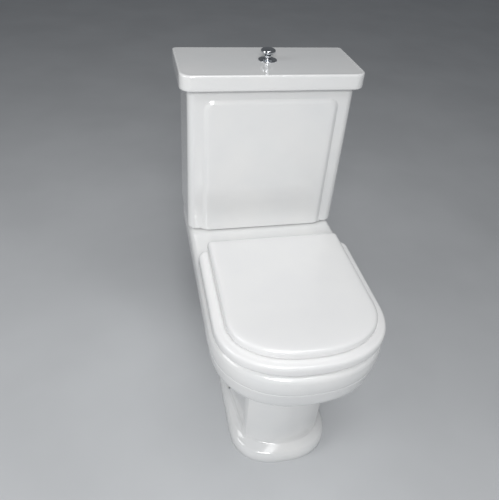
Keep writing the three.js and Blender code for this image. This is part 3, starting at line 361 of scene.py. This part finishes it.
def add_node(tree, kind, settings=None, inputs=None, links=None):
    """Adds a node, with its settings, input values, and links to other nodes' outputs."""
    node = tree.nodes.new(kind)
    for key, value in (settings or {}).items():
        setattr(node, key, value)
    for key, value in (inputs or {}).items():
        node.inputs[key].default_value = value
    for key, (source, output) in (links or {}).items():
        tree.links.new(source.outputs[output], node.inputs[key])
    return node


def finish_material(name, shader, tint=None, rough=None, bump=None):
    """A material on Object coordinates. tint is (hex, hex, size in mm), rough is (low, high, size in mm),
    bump is (height in mm, size in mm)."""
    material = bpy.data.materials.new(name)
    material.use_nodes = True
    tree = material.node_tree
    tree.nodes.clear()
    place = add_node(tree, "ShaderNodeTexCoord")
    links = {}
    if tint:
        cloud = add_node(
            tree, "ShaderNodeTexNoise", inputs={"Scale": 1000 / tint[2], "Detail": 3.0, "Roughness": 0.5},
            links={"Vector": (place, "Object")},
        )
        ramp = add_node(tree, "ShaderNodeValToRGB", links={"Fac": (cloud, "Fac")})
        ramp.color_ramp.elements[0].position = 0.35
        ramp.color_ramp.elements[1].position = 0.65
        ramp.color_ramp.elements[0].color = linear(tint[0])
        ramp.color_ramp.elements[1].color = linear(tint[1])
        links["Base Color"] = (ramp, "Color")
    if rough:
        streak = add_node(
            tree, "ShaderNodeTexNoise", inputs={"Scale": 1000 / rough[2], "Detail": 4.0},
            links={"Vector": (place, "Object")},
        )
        spread = add_node(
            tree, "ShaderNodeMapRange",
            inputs={"From Min": 0.3, "From Max": 0.7, "To Min": rough[0], "To Max": rough[1]},
            links={"Value": (streak, "Fac")},
        )
        links["Roughness"] = (spread, "Result")
    if bump:
        wave = add_node(
            tree, "ShaderNodeTexNoise", inputs={"Scale": 1000 / bump[1], "Detail": 2.0},
            links={"Vector": (place, "Object")},
        )
        relief = add_node(
            tree, "ShaderNodeBump", inputs={"Strength": 1.0, "Distance": bump[0] * MM},
            links={"Height": (wave, "Fac")},
        )
        links["Normal"] = (relief, "Normal")
    principled = add_node(tree, "ShaderNodeBsdfPrincipled", inputs=shader, links=links)
    add_node(tree, "ShaderNodeOutputMaterial", links={"Surface": (principled, "BSDF")})
    return material


def make_finishes():
    """Every finish of the toilet, by the record's slot that it belongs to."""
    return {
        # Vitreous china, spray glazed and fired: a hard wet gloss over a very slightly wavy white body.
        "vitreous_china": finish_material(
            "glazed_vitreous_china",
            {"IOR": 1.52, "Coat Weight": 1.0, "Coat Roughness": 0.03, "Coat IOR": 1.52},
            tint=("#eceded", "#f1f1f0", 140), rough=(0.16, 0.22, 60), bump=(0.05, 26),
        ),
        # Moulded urea plastic, buffed: as white as the china, with a softer, even gloss.
        "seat_plastic": finish_material(
            "moulded_urea_seat",
            {"IOR": 1.5, "Coat Weight": 0.4, "Coat Roughness": 0.08},
            tint=("#f3f3f3", "#f7f7f6", 180), rough=(0.17, 0.24, 45), bump=(0.03, 40),
        ),
        # Brass, polished and chrome plated: a dark mirror with a faint haze of wiping marks.
        "chrome_plate": finish_material(
            "polished_chrome_plate", {"Metallic": 1.0},
            tint=("#c4c7cb", "#d2d4d7", 9), rough=(0.05, 0.12, 4), bump=(0.01, 3),
        ),
        # Steel, turned and zinc plated: grey with a dull spangled shine.
        "zinc_steel": finish_material(
            "zinc_plated_steel", {"Metallic": 1.0},
            tint=("#8f9396", "#a9adaf", 3), rough=(0.28, 0.42, 2), bump=(0.03, 1.5),
        ),
        # Moulded rubber: near black, matt, with a fine dry bloom.
        "black_rubber": finish_material(
            "moulded_black_rubber", {"IOR": 1.52},
            tint=("#1d1e20", "#2b2c2e", 12), rough=(0.62, 0.78, 5), bump=(0.06, 1.2),
        ),
        # Moulded nylon: milky white with a waxy sheen.
        "white_nylon": finish_material(
            "moulded_white_nylon", {"IOR": 1.53},
            tint=("#dcdcd4", "#e8e8e1", 20), rough=(0.36, 0.46, 8), bump=(0.04, 2.5),
        ),
        # Brass, turned and left plain: warm yellow metal, browned where it has tarnished.
        "brass_plain": finish_material(
            "turned_plain_brass", {"Metallic": 1.0},
            tint=("#96743a", "#b8954f", 14), rough=(0.26, 0.42, 5), bump=(0.03, 1.4),
        ),
        # Blow moulded polythene: an even orange with a soft, slightly uneven surface.
        "float_plastic": finish_material(
            "blown_orange_polythene", {"IOR": 1.51},
            tint=("#bd4d24", "#cc5f33", 30), rough=(0.34, 0.44, 12), bump=(0.12, 9),
        ),
    }


FINISHES = {}

# ---------------------------------------------------------------- pan

RIM_FRONT_LENGTH = 172
FOOT_HALF = 121
FOOT_FRONT = PAN.front - 74
FOOT_FRONT_LENGTH = 107
SKIRT_HALF = 104
SKIRT_BACK = PAN.back + 15
BOWL_HALF = RIM_HALF - 59.5
BOWL_BACK = 322
BOWL_FRONT = PAN.front - 46
BOWL_WIDEST = (BOWL_BACK + BOWL_FRONT) / 2 - 20
SUMP_CENTRE = BOWL_BACK + 70
SUMP_FLOOR = 100
LIP_Z = RIM_TOP - 52
JOIN_Z = RIM_TOP - 92
TRAP_RADIUS = 29
SPIGOT_RADIUS = 51
SPIGOT_BORE = 42


def rim_plan(inset, back=0.0):
    corner, half = PAN.front - RIM_FRONT_LENGTH, RIM_HALF - inset
    return (PAN.back + back, half, corner - 90, half, corner, PAN.front - inset, 2.3, 0)


def column_plan(grow, crease=1.0):
    corner = FOOT_FRONT - 61
    return (
        SKIRT_BACK, SKIRT_HALF + grow, corner - 130, SKIRT_HALF - 15 + grow, corner - grow / 3,
        FOOT_FRONT - 30 + grow, 2, crease,
    )


def foot_plan(inset):
    corner, half = FOOT_FRONT - FOOT_FRONT_LENGTH, FOOT_HALF - inset
    return (SKIRT_BACK, half, corner - 80, half, corner, FOOT_FRONT - inset, 2.5, 0)


def pan_heights(plinth):
    """Heights and plans of the pan's outside, from the floor to the deck."""
    return [
        (0, foot_plan(0.6)), (1, foot_plan(0)), (plinth - 16, foot_plan(0.4)), (plinth - 8, foot_plan(2)),
        (plinth - 3, foot_plan(4.6)), (plinth, foot_plan(8)), (plinth + 3, column_plan(4.4)),
        (plinth + 6, column_plan(1)), (plinth + 16, column_plan(0)),
        (JOIN_Z - 126, column_plan(0)), (JOIN_Z - 78, column_plan(14, 0.7)),
        (JOIN_Z - 44, column_plan(34, 0.3)),
        (JOIN_Z - 18, rim_plan(34, 15)), (JOIN_Z - 4, rim_plan(20, 1)), (JOIN_Z, rim_plan(14)),
        (JOIN_Z + 5, rim_plan(9)), (JOIN_Z + 14, rim_plan(6)), (JOIN_Z + 31, rim_plan(3.6)),
        (RIM_TOP - 47, rim_plan(2.2)), (RIM_TOP - 45, rim_plan(3.1)), (RIM_TOP - 43, rim_plan(1.2)),
        (RIM_TOP - 36, rim_plan(0.3)), (RIM_TOP - 28, rim_plan(0)), (RIM_TOP - 12, rim_plan(1.2)),
        (RIM_TOP - 6, rim_plan(3, 0.4)), (RIM_TOP - 2, rim_plan(6.5, 1.6)), (RIM_TOP, rim_plan(11, 4)),
    ]


def plan_at(table, z, wall=0.0):
    """The pan's plan at any height, drawn in by a wall's thickness."""
    values = [eased([(height, plan[k]) for height, plan in table], z) for k in range(8)]
    back, half, shoulder, corner_half, corner, front, power, crease = values
    return (back + wall, half - wall, shoulder, corner_half - wall, corner, front - wall, power, crease)


def bowl_egg(angles, down, wall=0.0):
    """The bowl's outline between its flushing channel, down = 0, and its sump, down = 1."""
    narrow = eased([
        (0, 0), (0.2, 0.09), (0.33, 0.25), (0.46, 0.43), (0.6, 0.6), (0.74, 0.76), (0.87, 0.86), (1, 0.95),
    ], down)
    out = 33

    def mix(wide, slim):
        return wide + (slim - wide) * narrow

    return egg_outline(
        angles,
        mix(BOWL_HALF + out, 18) + wall,
        mix(BOWL_BACK - 0.8 * out, SUMP_CENTRE - 22) - wall,
        mix(BOWL_WIDEST, SUMP_CENTRE),
        mix(BOWL_FRONT + 0.7 * out, SUMP_CENTRE + 22) + wall,
    )


def opening_egg(angles, out):
    """The opening in the rim, let out by a distance at its sides and by less at its ends."""
    back, front = BOWL_BACK - 0.8 * out, BOWL_FRONT + 0.7 * out
    return egg_outline(angles, BOWL_HALF + out, back, BOWL_WIDEST, front)


BEND_Z = 185
BEND_END = 121


def bend_ring(angles, degrees, wall=0.0):
    """A section of the sump as it turns back into the trap, from level at 0 degrees."""
    start = bowl_egg([0, math.pi, math.pi / 2], (LIP_Z - BEND_Z) / (LIP_Z - SUMP_FLOOR))
    front, back, side = start[0][1], start[1][1], start[2][0]
    share = degrees / BEND_END
    length = (front - back) / 2 + (TRAP_RADIUS - (front - back) / 2) * share
    wide = side + (TRAP_RADIUS - side) * share
    pivot = back - 8
    reach = length + 8
    turn = math.radians(degrees)
    middle_w, middle_z = pivot + reach * math.cos(turn), BEND_Z - reach * math.sin(turn)
    points = []
    for angle in angles:
        x, v = (wide + wall) * math.sin(angle), (length + wall) * math.cos(angle)
        points.append(at(x, middle_w + v * math.cos(turn), middle_z - v * math.sin(turn)))
    return points


def build_pan(settings):
    """The outside, the rim, the bowl down into its trap, and the hollow underneath, as one skin."""
    plinth = settings.plinth_height / MM
    wall = settings.china_wall / MM
    table = pan_heights(plinth)
    heights = [height for height, _ in table[:9]]
    heights += between(plinth + 16, JOIN_Z - 126, 6)[1:] + between(JOIN_Z - 126, JOIN_Z - 18, 14)
    heights += between(JOIN_Z - 18, JOIN_Z + 14, 10) + between(JOIN_Z + 14, RIM_TOP - 49, 5)
    heights += between(RIM_TOP - 49, RIM_TOP - 40, 9) + between(RIM_TOP - 40, RIM_TOP - 28, 3)
    heights += between(RIM_TOP - 28, RIM_TOP - 12, 3) + between(RIM_TOP - 12, RIM_TOP, 8) + [RIM_TOP]
    outer = [(z, pan_outline(plan_at(table, z))) for z in heights]
    top = outer[-1][1]
    angles = directions(top, BOWL_WIDEST)

    rings = flat_rings(outer + [(RIM_TOP, pan_outline(rim_plan(*inset))) for inset in ((12, 5), (18, 12))])
    lip = smooth_line([
        (16, RIM_TOP), (11, RIM_TOP), (7, RIM_TOP - 0.6), (3, RIM_TOP - 2.6), (0.6, RIM_TOP - 6),
        (0, RIM_TOP - 11),
    ], 2)
    lip += [(0, LIP_Z + 12)] + smooth_line([
        (0, LIP_Z + 7), (1, LIP_Z + 2.4), (3.4, LIP_Z + 0.3), (6.5, LIP_Z), (9.6, LIP_Z + 0.3),
        (12, LIP_Z + 2.4), (13, LIP_Z + 7),
    ], 2)
    lip += [(13.5, LIP_Z + 24)] + smooth_line([
        (15, LIP_Z + 30), (19, LIP_Z + 34), (26, LIP_Z + 34), (31, LIP_Z + 30), (33, LIP_Z + 22),
        (33, LIP_Z + 4),
    ], 2)
    rings += flat_rings([(z, opening_egg(angles, out)) for out, z in lip])
    end_down = (LIP_Z - BEND_Z) / (LIP_Z - SUMP_FLOOR)
    for i in range(22):
        down = end_down * i / 22
        rings += flat_rings([(LIP_Z - (LIP_Z - SUMP_FLOOR) * down, bowl_egg(angles, down))])
    bends = [BEND_END * i / 14 for i in range(15)]
    rings += [bend_ring(angles, degrees) for degrees in bends]
    rings += [bend_ring(angles, degrees, wall) for degrees in reversed(bends)]

    roof = 258
    for z in between(BEND_Z + 8, roof, 6):
        rings += flat_rings([(z, bowl_egg(angles, (LIP_Z - z) / (LIP_Z - SUMP_FLOOR), wall))])
    bowl_top = bowl_egg(angles, (LIP_Z - roof) / (LIP_Z - SUMP_FLOOR), wall)
    chamber_front = egg_outline(angles, RIM_HALF - 40, BOWL_BACK - 37, BOWL_WIDEST, BOWL_FRONT)
    wall_top = pan_outline(plan_at(table, roof, wall))
    chamber_back = pan_outline(rim_plan(wall + 12, wall))
    rises = [1 - min(max((w - 285) / 40, 0), 1) for _, w in chamber_back]
    deck_under = RIM_TOP - 13

    def lifted(low, high):
        return [
            at(a[0] + (b[0] - a[0]) * r, a[1] + (b[1] - a[1]) * r, roof + (deck_under - roof) * r)
            for a, b, r in zip(low, high, rises)
        ]

    rings += [lifted(bowl_top, bowl_top), lifted(bowl_top, chamber_front), lifted(wall_top, chamber_back)]
    inner = [roof - 1] + list(reversed(between(plinth + 16, roof - 1, 12))) + [plinth + 8, plinth - 2, 6, 0]
    for z in inner:
        plan = plan_at(table, max(z, 1), wall)
        rings += flat_rings([(z, pan_outline(plan))])

    bm = bmesh.new()
    skin(bm, rings, ends="joined")
    finished(
        bm, "pan_china", "root", FINISHES["vitreous_china"],
        ("pan_deck", "pan_rim", "pan_basin", "pan_sump", "pan_pedestal"),
    )


def build_trapway(settings):
    """The trap from behind the sump over its weir to the outlet, a tube with a thicker spigot."""
    outlet = span("pan_outlet")
    wall = settings.china_wall / MM - 1
    weir_w, weir_z = SUMP_CENTRE - 152, 246
    outlet_z = (outlet.low + outlet.high) / 2
    near, far = bend_ring([0, math.pi], BEND_END)
    end = near + (far - near) / 2
    start = ((WALL - end.y) / MM, end.z / MM)
    route = smooth_line([
        start, (start[0] - 22, start[1] + 16), (weir_w + 34, weir_z - 18), (weir_w, weir_z),
        (weir_w - 32, weir_z - 16), (weir_w - 54, outlet_z + 20), (weir_w - 90, outlet_z), (90, outlet_z),
        (outlet.back, outlet_z),
    ], 5)

    def ring(index, radius):
        before, after = route[max(index - 1, 0)], route[min(index + 1, len(route) - 1)]
        heading = math.atan2(after[1] - before[1], after[0] - before[0])
        w, z = route[index]
        points = []
        for angle in between(0, 2 * math.pi, 40):
            across, up = radius * math.sin(angle), radius * math.cos(angle)
            points.append(at(across, w - up * math.sin(heading), z + up * math.cos(heading)))
        return points

    rings = []
    for index, (w, _) in enumerate(route):
        collar = min(max((78 - w) / 10, 0), 1)
        rings.append(ring(index, TRAP_RADIUS + wall + (SPIGOT_RADIUS - TRAP_RADIUS - wall) * collar))
    for index in range(len(route) - 1, -1, -1):
        collar = min(max((70 - route[index][0]) / 8, 0), 1)
        rings.append(ring(index, TRAP_RADIUS + (SPIGOT_BORE - TRAP_RADIUS) * collar))
    bm = bmesh.new()
    skin(bm, rings, ends="joined")
    finished(
        bm, "pan_trap_china", "root", FINISHES["vitreous_china"],
        ("pan_trapway", "pan_outlet"),
    )


# ---------------------------------------------------------------- cistern

PANEL_MARGIN = 40
PANEL_DROP = 28
PANEL_CORNER = 18
TANK_WALL = 10
TANK_FLOOR = 14
VALVE_HOLE = 27.5
LID_PLATE = 13.7
ROD_HOLE = 7.6

def build_cistern(settings):
    """The cistern's rounded box, open above, with a hole in its floor and the raised panel in front."""
    raise_by = settings.panel_raise / MM
    front = TANK.front - 5
    floor = TANK.low + TANK_FLOOR

    def plan(inset):
        back_corner, front_corner = max(8 - inset / 3, 3), 18 - inset / 3
        return rounded_box(TANK.right - inset, TANK.back + inset, front - inset, back_corner, front_corner)

    angles = directions(plan(0), VALVE_W)

    def hole(radius):
        return egg_outline(angles, radius, VALVE_W - radius, VALVE_W, VALVE_W + radius, 2)

    foot = smooth_line([(9, 0), (4, 0.6), (1, 3), (0, 8)], 3)
    levels = [(TANK.low + dz, plan(inset)) for inset, dz in foot]
    levels += [(z, plan(0)) for z in between(TANK.low + 12, TANK.high - 6, 6)]
    brim = smooth_line([(0, 4), (0.8, 1.2), (3, 0), (7, 0), (9.2, 1.2), (10, 4)], 2)
    levels += [(TANK.high - dz, plan(inset)) for inset, dz in brim]
    levels += [(z, plan(TANK_WALL)) for z in (TANK.high - 12, floor + 16)]
    cove = smooth_line([(0, 10), (1.4, 4), (5, 0.8), (12, 0)], 3)
    levels += [(floor + dz, plan(TANK_WALL + inset)) for inset, dz in cove]
    levels += [(floor, hole(VALVE_HOLE + out)) for out in (16.5, 1.5)]
    levels += [(z, hole(VALVE_HOLE)) for z in (floor - 1.5, TANK.low + 1.5)]
    levels += [(TANK.low, hole(VALVE_HOLE + out)) for out in (1.5, 16.5)]
    bm = bmesh.new()
    skin(bm, flat_rings(levels), ends="joined")

    half, top, low = TANK.right - PANEL_MARGIN, LID.low - PANEL_DROP, TANK.low + 0.4
    corner = PANEL_CORNER

    def face(out, depth):
        side, rounding = half + out, corner + out
        points = [(0, top + out)]
        points += [(x, top + out) for x in between(40, half - corner, 4)]
        points += [
            (side - rounding * (1 - math.sin(a)), top + out - rounding * (1 - math.cos(a)))
            for a in between(0, math.pi / 2, 10)
        ]
        points += [(side, z) for z in between(top - corner, low + 4, 12)]
        points += [(side, low + 4), (side - 0.5, low + 1), (side - 3, low), (half - 60, low)]
        points += [(half - 100, low), (0, low)]
        return [at(x, front + depth, z) for x, z in whole(points)]

    steps = smooth_line([
        (8, -0.6), (5, 0.1), (2.4, raise_by * 0.3), (-0.4, raise_by * 0.62), (-4, raise_by * 0.92),
        (-9, raise_by),
    ], 3)
    skin(bm, [face(-7, -2)] + [face(out, depth) for out, depth in steps] + [face(-13, raise_by)])
    finished(bm, "cistern_china", "root", FINISHES["vitreous_china"], ("cistern_tank",))


def build_lid():
    """The cistern's lid: a plate with a turned-down edge, rounded over, with a hole for the knob's rod."""
    plate = LID.high - LID_PLATE

    def plan(inset):
        corner = 26 - min(inset, 12) * 0.6
        return rounded_box(LID.right - inset, LID.back + inset * 0.6, LID.front - inset, 6, corner)

    def under(inset):
        back, front = LID.back + 3 + inset * 0.4, LID.front - 5 - inset
        return rounded_box(LID.right - 10 - inset, back, front, 5, 19 - inset * 0.4)

    angles = directions(plan(0), VALVE_W)

    def hole(radius):
        return egg_outline(angles, radius, VALVE_W - radius, VALVE_W, VALVE_W + radius, 2)

    foot = smooth_line([(4, 0), (1.8, 0.3), (0.5, 1.6), (0, 4)], 3)
    levels = [(LID.low + dz, plan(inset)) for inset, dz in foot]
    levels += [(LID.low + 10, plan(0)), (LID.high - 12, plan(0))]
    brow = smooth_line([(0, 6), (0.4, 3), (1.6, 1), (4, 0), (6, 0)], 3)
    levels += [(LID.high - dz, plan(inset)) for inset, dz in brow]
    levels += [(LID.high, plan(14)), (LID.high, hole(17)), (LID.high, hole(9))]
    levels += [(LID.high - 0.8, hole(ROD_HOLE)), (plate + 1, hole(ROD_HOLE))]
    levels += [(plate, hole(9)), (plate, hole(17)), (plate, under(8)), (plate - 1.5, under(2))]
    levels += [(plate - 5, under(0)), (LID.low + 3, under(0)), (LID.low + 0.6, under(-0.6))]
    bm = bmesh.new()
    skin(bm, flat_rings(levels), ends="joined")
    finished(bm, "lid_china", "cistern_lid", FINISHES["vitreous_china"], ("cistern_lid",))


# ---------------------------------------------------------------- seat

KNUCKLE = POST.high - HINGE_Z
PIN_HOLE = 3.6
RING_FRONT_LENGTH = 139
COVER_FRONT_LENGTH = 112


def barrel(bm, x0, x1):
    """A hinge knuckle along X, bored for the pin."""
    low, high = min(x0, x1), max(x0, x1)
    turned_across(bm, [
        (PIN_HOLE, low), (KNUCKLE - 0.8, low), (KNUCKLE, low + 0.8), (KNUCKLE, high - 0.8),
        (KNUCKLE - 0.8, high), (PIN_HOLE, high),
    ], HINGE_W, HINGE_Z)


def build_ring():
    """The seat ring: a crowned band round an egg-shaped hole, notched at the back for the hinges."""
    back = HINGE_W + 2

    def plan(inset):
        half, front, notch = RING.right - inset, RING.front - inset, HINGE_W + 16 + inset / 2
        return seat_outline(half, back + inset / 2, 20, front, RING_FRONT_LENGTH, notch)

    thick = RING.high - RING.low
    hole_half, hole_back, hole_front = BOWL_HALF - 14, BOWL_BACK + 18, BOWL_FRONT - 21
    middle = (hole_back + hole_front) / 2
    angles = directions(plan(0), middle)

    def hole(out):
        return egg_outline(angles, hole_half + out, hole_back - out, middle, hole_front + out)

    outer = [(10, 0)] + smooth_line([
        (5, 0), (1.6, 0.015), (0.3, 0.1), (0, 0.3), (0.2, 0.6), (1.0, 0.8), (2.8, 0.92), (6, 0.975),
        (14, 1), (24, 1),
    ], 3)
    inner = smooth_line([
        (24, 1), (18, 0.985), (10, 0.9), (5, 0.76), (1.6, 0.58), (0, 0.36), (0.2, 0.12), (1.6, 0.01), (7, 0),
    ], 3) + [(12, 0)]
    levels = [(RING.low + thick * up, plan(inset)) for inset, up in outer]
    levels += [(RING.low + thick * up, hole(out)) for out, up in inner]
    bm = bmesh.new()
    skin(bm, flat_rings(levels), ends="joined")
    for side in (-1, 1):
        x0, x1 = side * (POST.right + 1), side * (POST.right + 14)
        barrel(bm, x0, x1)
        block(bm, (min(x0, x1), HINGE_W + 5, HINGE_Z - 6), (max(x0, x1), HINGE_W + 22, HINGE_Z + 6))
    finished(bm, "ring_plastic", "seat_ring", FINISHES["seat_plastic"], ("seat_ring",))


def build_cover():
    """The seat cover: a shallow rounded tray upside down, with its two hinge knuckles."""
    low = HINGE_Z + 14
    thick = COVER.high - low

    def plan(inset):
        half, front = COVER.right - inset, COVER.front - inset
        return seat_outline(half, COVER.back + inset, 9, front, COVER_FRONT_LENGTH)

    outer = smooth_line([
        (4, 0), (1.4, 0.01), (0.3, 0.07), (0, 0.2), (0.2, 0.5), (1.2, 0.72), (3.4, 0.86), (8, 0.94),
        (18, 0.985), (30, 1),
    ], 3)
    levels = [(low + 11, plan(44)), (low + 11, plan(36)), (low + 10.2, plan(32)), (low + 7, plan(28))]
    levels += [(low + 2, plan(26.6)), (low + 0.4, plan(25.6)), (low, plan(23))]
    levels += [(low + thick * up, plan(inset)) for inset, up in outer]
    levels += [(COVER.high, plan(38))]
    bm = bmesh.new()
    skin(bm, flat_rings(levels))
    for side in (-1, 1):
        x0, x1 = side * (POST.left - 1), side * (POST.left - 14)
        barrel(bm, x0, x1)
        block(bm, (min(x0, x1), HINGE_W - 6, HINGE_Z + 5), (max(x0, x1), HINGE_W + 7, low + 4))
    finished(bm, "cover_plastic", "seat_cover", FINISHES["seat_plastic"], ("seat_cover",))


# ---------------------------------------------------------------- flush knob and fittings

ROD_FIT = 3.4


def build_knob():
    """The pull-up knob and the flared plate it stands on."""
    low, top, radius = KNOB.low, KNOB.high, KNOB.right
    bm = bmesh.new()
    line = smooth_line([
        (6.4, low), (7, low + 0.8), (7, low + 5), (9, low + 7.4), (radius - 2.6, top - 10),
        (radius - 0.3, top - 8), (radius, top - 6), (radius - 0.4, top - 3.6), (radius - 2, top - 1.9),
        (radius - 6, top - 0.7), (5, top - 0.1), (0, top),
    ], 3)
    turned(bm, [(ROD_FIT, low + 12), (ROD_FIT, low)] + line, 0, VALVE_W)
    finished(bm, "knob_chrome", "flush_knob", FINISHES["chrome_plate"], ("flush_knob",))

    low, top, radius = ESCUTCHEON.low, ESCUTCHEON.high, ESCUTCHEON.right
    plate = LID.high
    bm = bmesh.new()
    sleeve = [(ROD_FIT, top), (ROD_FIT, low), (5.8, low), (5.8, plate + 0.3), (radius - 0.4, plate + 0.3)]
    flare = smooth_line([
        (radius, plate + 0.8), (radius - 0.4, plate + 1.7), (radius - 2.6, plate + 2.6), (15, plate + 3.6),
        (11, top - 0.3), (8, top),
    ], 3)
    turned(bm, sleeve + flare, 0, VALVE_W)
    finished(
        bm, "escutcheon_chrome", "cistern_lid", FINISHES["chrome_plate"],
        ("knob_escutcheon",),
    )


def build_screw_caps():
    """A small domed cap pressed on the head of each side screw."""
    for side in ("left", "right"):
        head = span("side_screw_" + side)
        outward, face = (-1, head.left) if side == "left" else (1, head.right)
        w, z = (head.back + head.front) / 2, (head.low + head.high) / 2
        dome = [(0, -0.3), (4.8, -0.3), (4.8, 0.3), (4.3, 0.9), (2.6, 1.4), (0, 1.6)]
        bm = bmesh.new()
        turned_across(bm, [(radius, face + outward * out) for radius, out in dome], w, z, 32)
        finished(bm, "screw_cap_" + side, "root", FINISHES["white_nylon"])


def build_float():
    """The float ball, blown in two halves with a seam where they meet."""
    ball = span("float_ball")
    centre = ((ball.left + ball.right) / 2, (ball.back + ball.front) / 2, (ball.low + ball.high) / 2)
    radius = (ball.front - ball.back) / 2
    seam = 0.5
    profile = []
    for i in range(25):
        turn = math.pi * i / 24
        reach = radius - seam + seam * math.exp(-((turn - math.pi / 2) / 0.03) ** 2)
        profile.append((reach * math.sin(turn), centre[2] - reach * math.cos(turn)))
    bm = bmesh.new()
    turned(bm, profile, centre[0], centre[1], 56)
    finished(bm, "float_shell", "float_arm", FINISHES["float_plastic"], ("float_ball",))


def dress_fittings():
    """Gives each CAD node that stays its own finish."""
    slots = {part["node"]: part["material_slot"] for part in frame["record"]["subparts"]}
    for name, node in frame["nodes"].items():
        node.data.materials.clear()
        node.data.materials.append(FINISHES[slots[name]])


# ---------------------------------------------------------------- studio


CAMERA_PLACE = (-0.29702, -0.89119, 1.18884)
CAMERA_YAW, CAMERA_PITCH, CAMERA_ROLL = math.radians(14.46), math.radians(38.23), math.radians(4.74)
CAMERA_LENS = 37.71


def look(place, yaw, pitch, roll):
    """A camera's matrix: yaw turns to the right of straight at the wall, pitch is downwards."""
    forward = Vector((math.sin(yaw) * math.cos(pitch), math.cos(yaw) * math.cos(pitch), -math.sin(pitch)))
    level = forward.cross(Vector((0, 0, 1))).normalized()
    over = level.cross(forward)
    right = level * math.cos(roll) + over * math.sin(roll)
    up = over * math.cos(roll) - level * math.sin(roll)
    turn = Matrix((right, up, -forward)).transposed().to_4x4()
    return Matrix.Translation(place) @ turn


def lamp(name, place, target, size, power):
    data = bpy.data.lights.new(name, "AREA")
    data.shape = "RECTANGLE"
    data.size, data.size_y = size
    data.energy = power
    light = bpy.data.objects.new(name, data)
    bpy.context.scene.collection.objects.link(light)
    turn = (Vector(target) - Vector(place)).to_track_quat("-Z", "Y").to_matrix().to_4x4()
    light.matrix_world = Matrix.Translation(place) @ turn


def build_stage(settings):
    """The floor, the lamps, the room's light and the camera."""
    bm = bmesh.new()
    bmesh.ops.create_grid(bm, x_segments=1, y_segments=1, size=6.0)
    mesh = bpy.data.meshes.new("studio_floor")
    bm.to_mesh(mesh)
    bm.free()
    floor = bpy.data.objects.new("studio_floor", mesh)
    bpy.context.scene.collection.objects.link(floor)
    # Rolled studio vinyl: pale grey and matt, with the faintest cloud in it.
    mesh.materials.append(finish_material(
        "pale_studio_vinyl", {"IOR": 1.45},
        tint=("#c9cbcd", "#cfd1d3", 400), rough=(0.6, 0.7, 90), bump=(0.02, 8),
    ))

    world = bpy.data.worlds.new("studio_air")
    world.use_nodes = True
    world.node_tree.nodes["Background"].inputs["Color"].default_value = linear("#c8ccd2")
    world.node_tree.nodes["Background"].inputs["Strength"].default_value = 0.22
    bpy.context.scene.world = world
    bpy.context.scene.view_settings.view_transform = "Standard"

    power = settings.lamp_power
    lamp("lamp_main", (-0.5, -1.9, 2.0), (0, 0.1, 0.5), (0.9, 0.9), power)
    lamp("lamp_side", (-2.2, -0.4, 1.6), (0, 0, 0.5), (1.0, 1.4), power * 0.42)
    lamp("lamp_over", (0.2, -0.7, 2.9), (0, -0.2, 0.4), (1.2, 1.2), power * 0.5)

    data = bpy.data.cameras.new("studio_camera")
    data.sensor_width = 36
    data.lens = CAMERA_LENS
    data.clip_start = 0.05
    camera = bpy.data.objects.new("studio_camera", data)
    bpy.context.scene.collection.objects.link(camera)
    camera.matrix_world = look(CAMERA_PLACE, CAMERA_YAW, CAMERA_PITCH, CAMERA_ROLL)
    bpy.context.scene.camera = camera


# ---------------------------------------------------------------- operators


class TOILET_OT_finishes(bpy.types.Operator):
    """Make the finishes and give them to the fittings that stay as they are"""
    bl_idname = "toilet.finishes"
    bl_label = "Finishes"

    def execute(self, context):
        FINISHES.update(make_finishes())
        dress_fittings()
        return {"FINISHED"}


class TOILET_OT_pan(bpy.types.Operator):
    """Build the pan and its trapway"""
    bl_idname = "toilet.pan"
    bl_label = "Pan"

    def execute(self, context):
        build_pan(context.scene.toilet)
        build_trapway(context.scene.toilet)
        return {"FINISHED"}


class TOILET_OT_cistern(bpy.types.Operator):
    """Build the cistern and its lid"""
    bl_idname = "toilet.cistern"
    bl_label = "Cistern and lid"

    def execute(self, context):
        build_cistern(context.scene.toilet)
        build_lid()
        return {"FINISHED"}


class TOILET_OT_seat(bpy.types.Operator):
    """Build the seat ring and the seat cover"""
    bl_idname = "toilet.seat"
    bl_label = "Seat"

    def execute(self, context):
        build_ring()
        build_cover()
        return {"FINISHED"}


class TOILET_OT_knob(bpy.types.Operator):
    """Build the flush knob and its plate, the float and the screws' caps"""
    bl_idname = "toilet.knob"
    bl_label = "Flush knob and fittings"

    def execute(self, context):
        build_knob()
        build_float()
        build_screw_caps()
        return {"FINISHED"}


class TOILET_OT_stage(bpy.types.Operator):
    """Set out the floor, the lamps and the camera"""
    bl_idname = "toilet.stage"
    bl_label = "Stage"

    def execute(self, context):
        build_stage(context.scene.toilet)
        return {"FINISHED"}


OPERATORS = (
    TOILET_OT_finishes, TOILET_OT_pan, TOILET_OT_cistern, TOILET_OT_seat, TOILET_OT_knob,
    TOILET_OT_stage,
)


class TOILET_PT_panel(bpy.types.Panel):
    """Lists the pieces in the 3D view's sidebar"""
    bl_idname = "TOILET_PT_panel"
    bl_label = "Close Coupled Toilet"
    bl_space_type = "VIEW_3D"
    bl_region_type = "UI"
    bl_category = "Toilet"

    def draw(self, context):
        for name in ToiletSettings.__annotations__:
            self.layout.prop(context.scene.toilet, name)
        for operator in OPERATORS:
            self.layout.operator(operator.bl_idname)


CLASSES = (ToiletSettings, *OPERATORS, TOILET_PT_panel)


def register():
    for item in CLASSES:
        bpy.utils.register_class(item)
    bpy.types.Scene.toilet = PointerProperty(type=ToiletSettings)


def unregister():
    del bpy.types.Scene.toilet
    for item in reversed(CLASSES):
        bpy.utils.unregister_class(item)


def main():
    register()
    bpy.ops.toilet.finishes()
    bpy.ops.toilet.pan()
    bpy.ops.toilet.cistern()
    bpy.ops.toilet.seat()
    bpy.ops.toilet.knob()
    bpy.ops.toilet.stage()


if __name__ == "__main__":
    main()
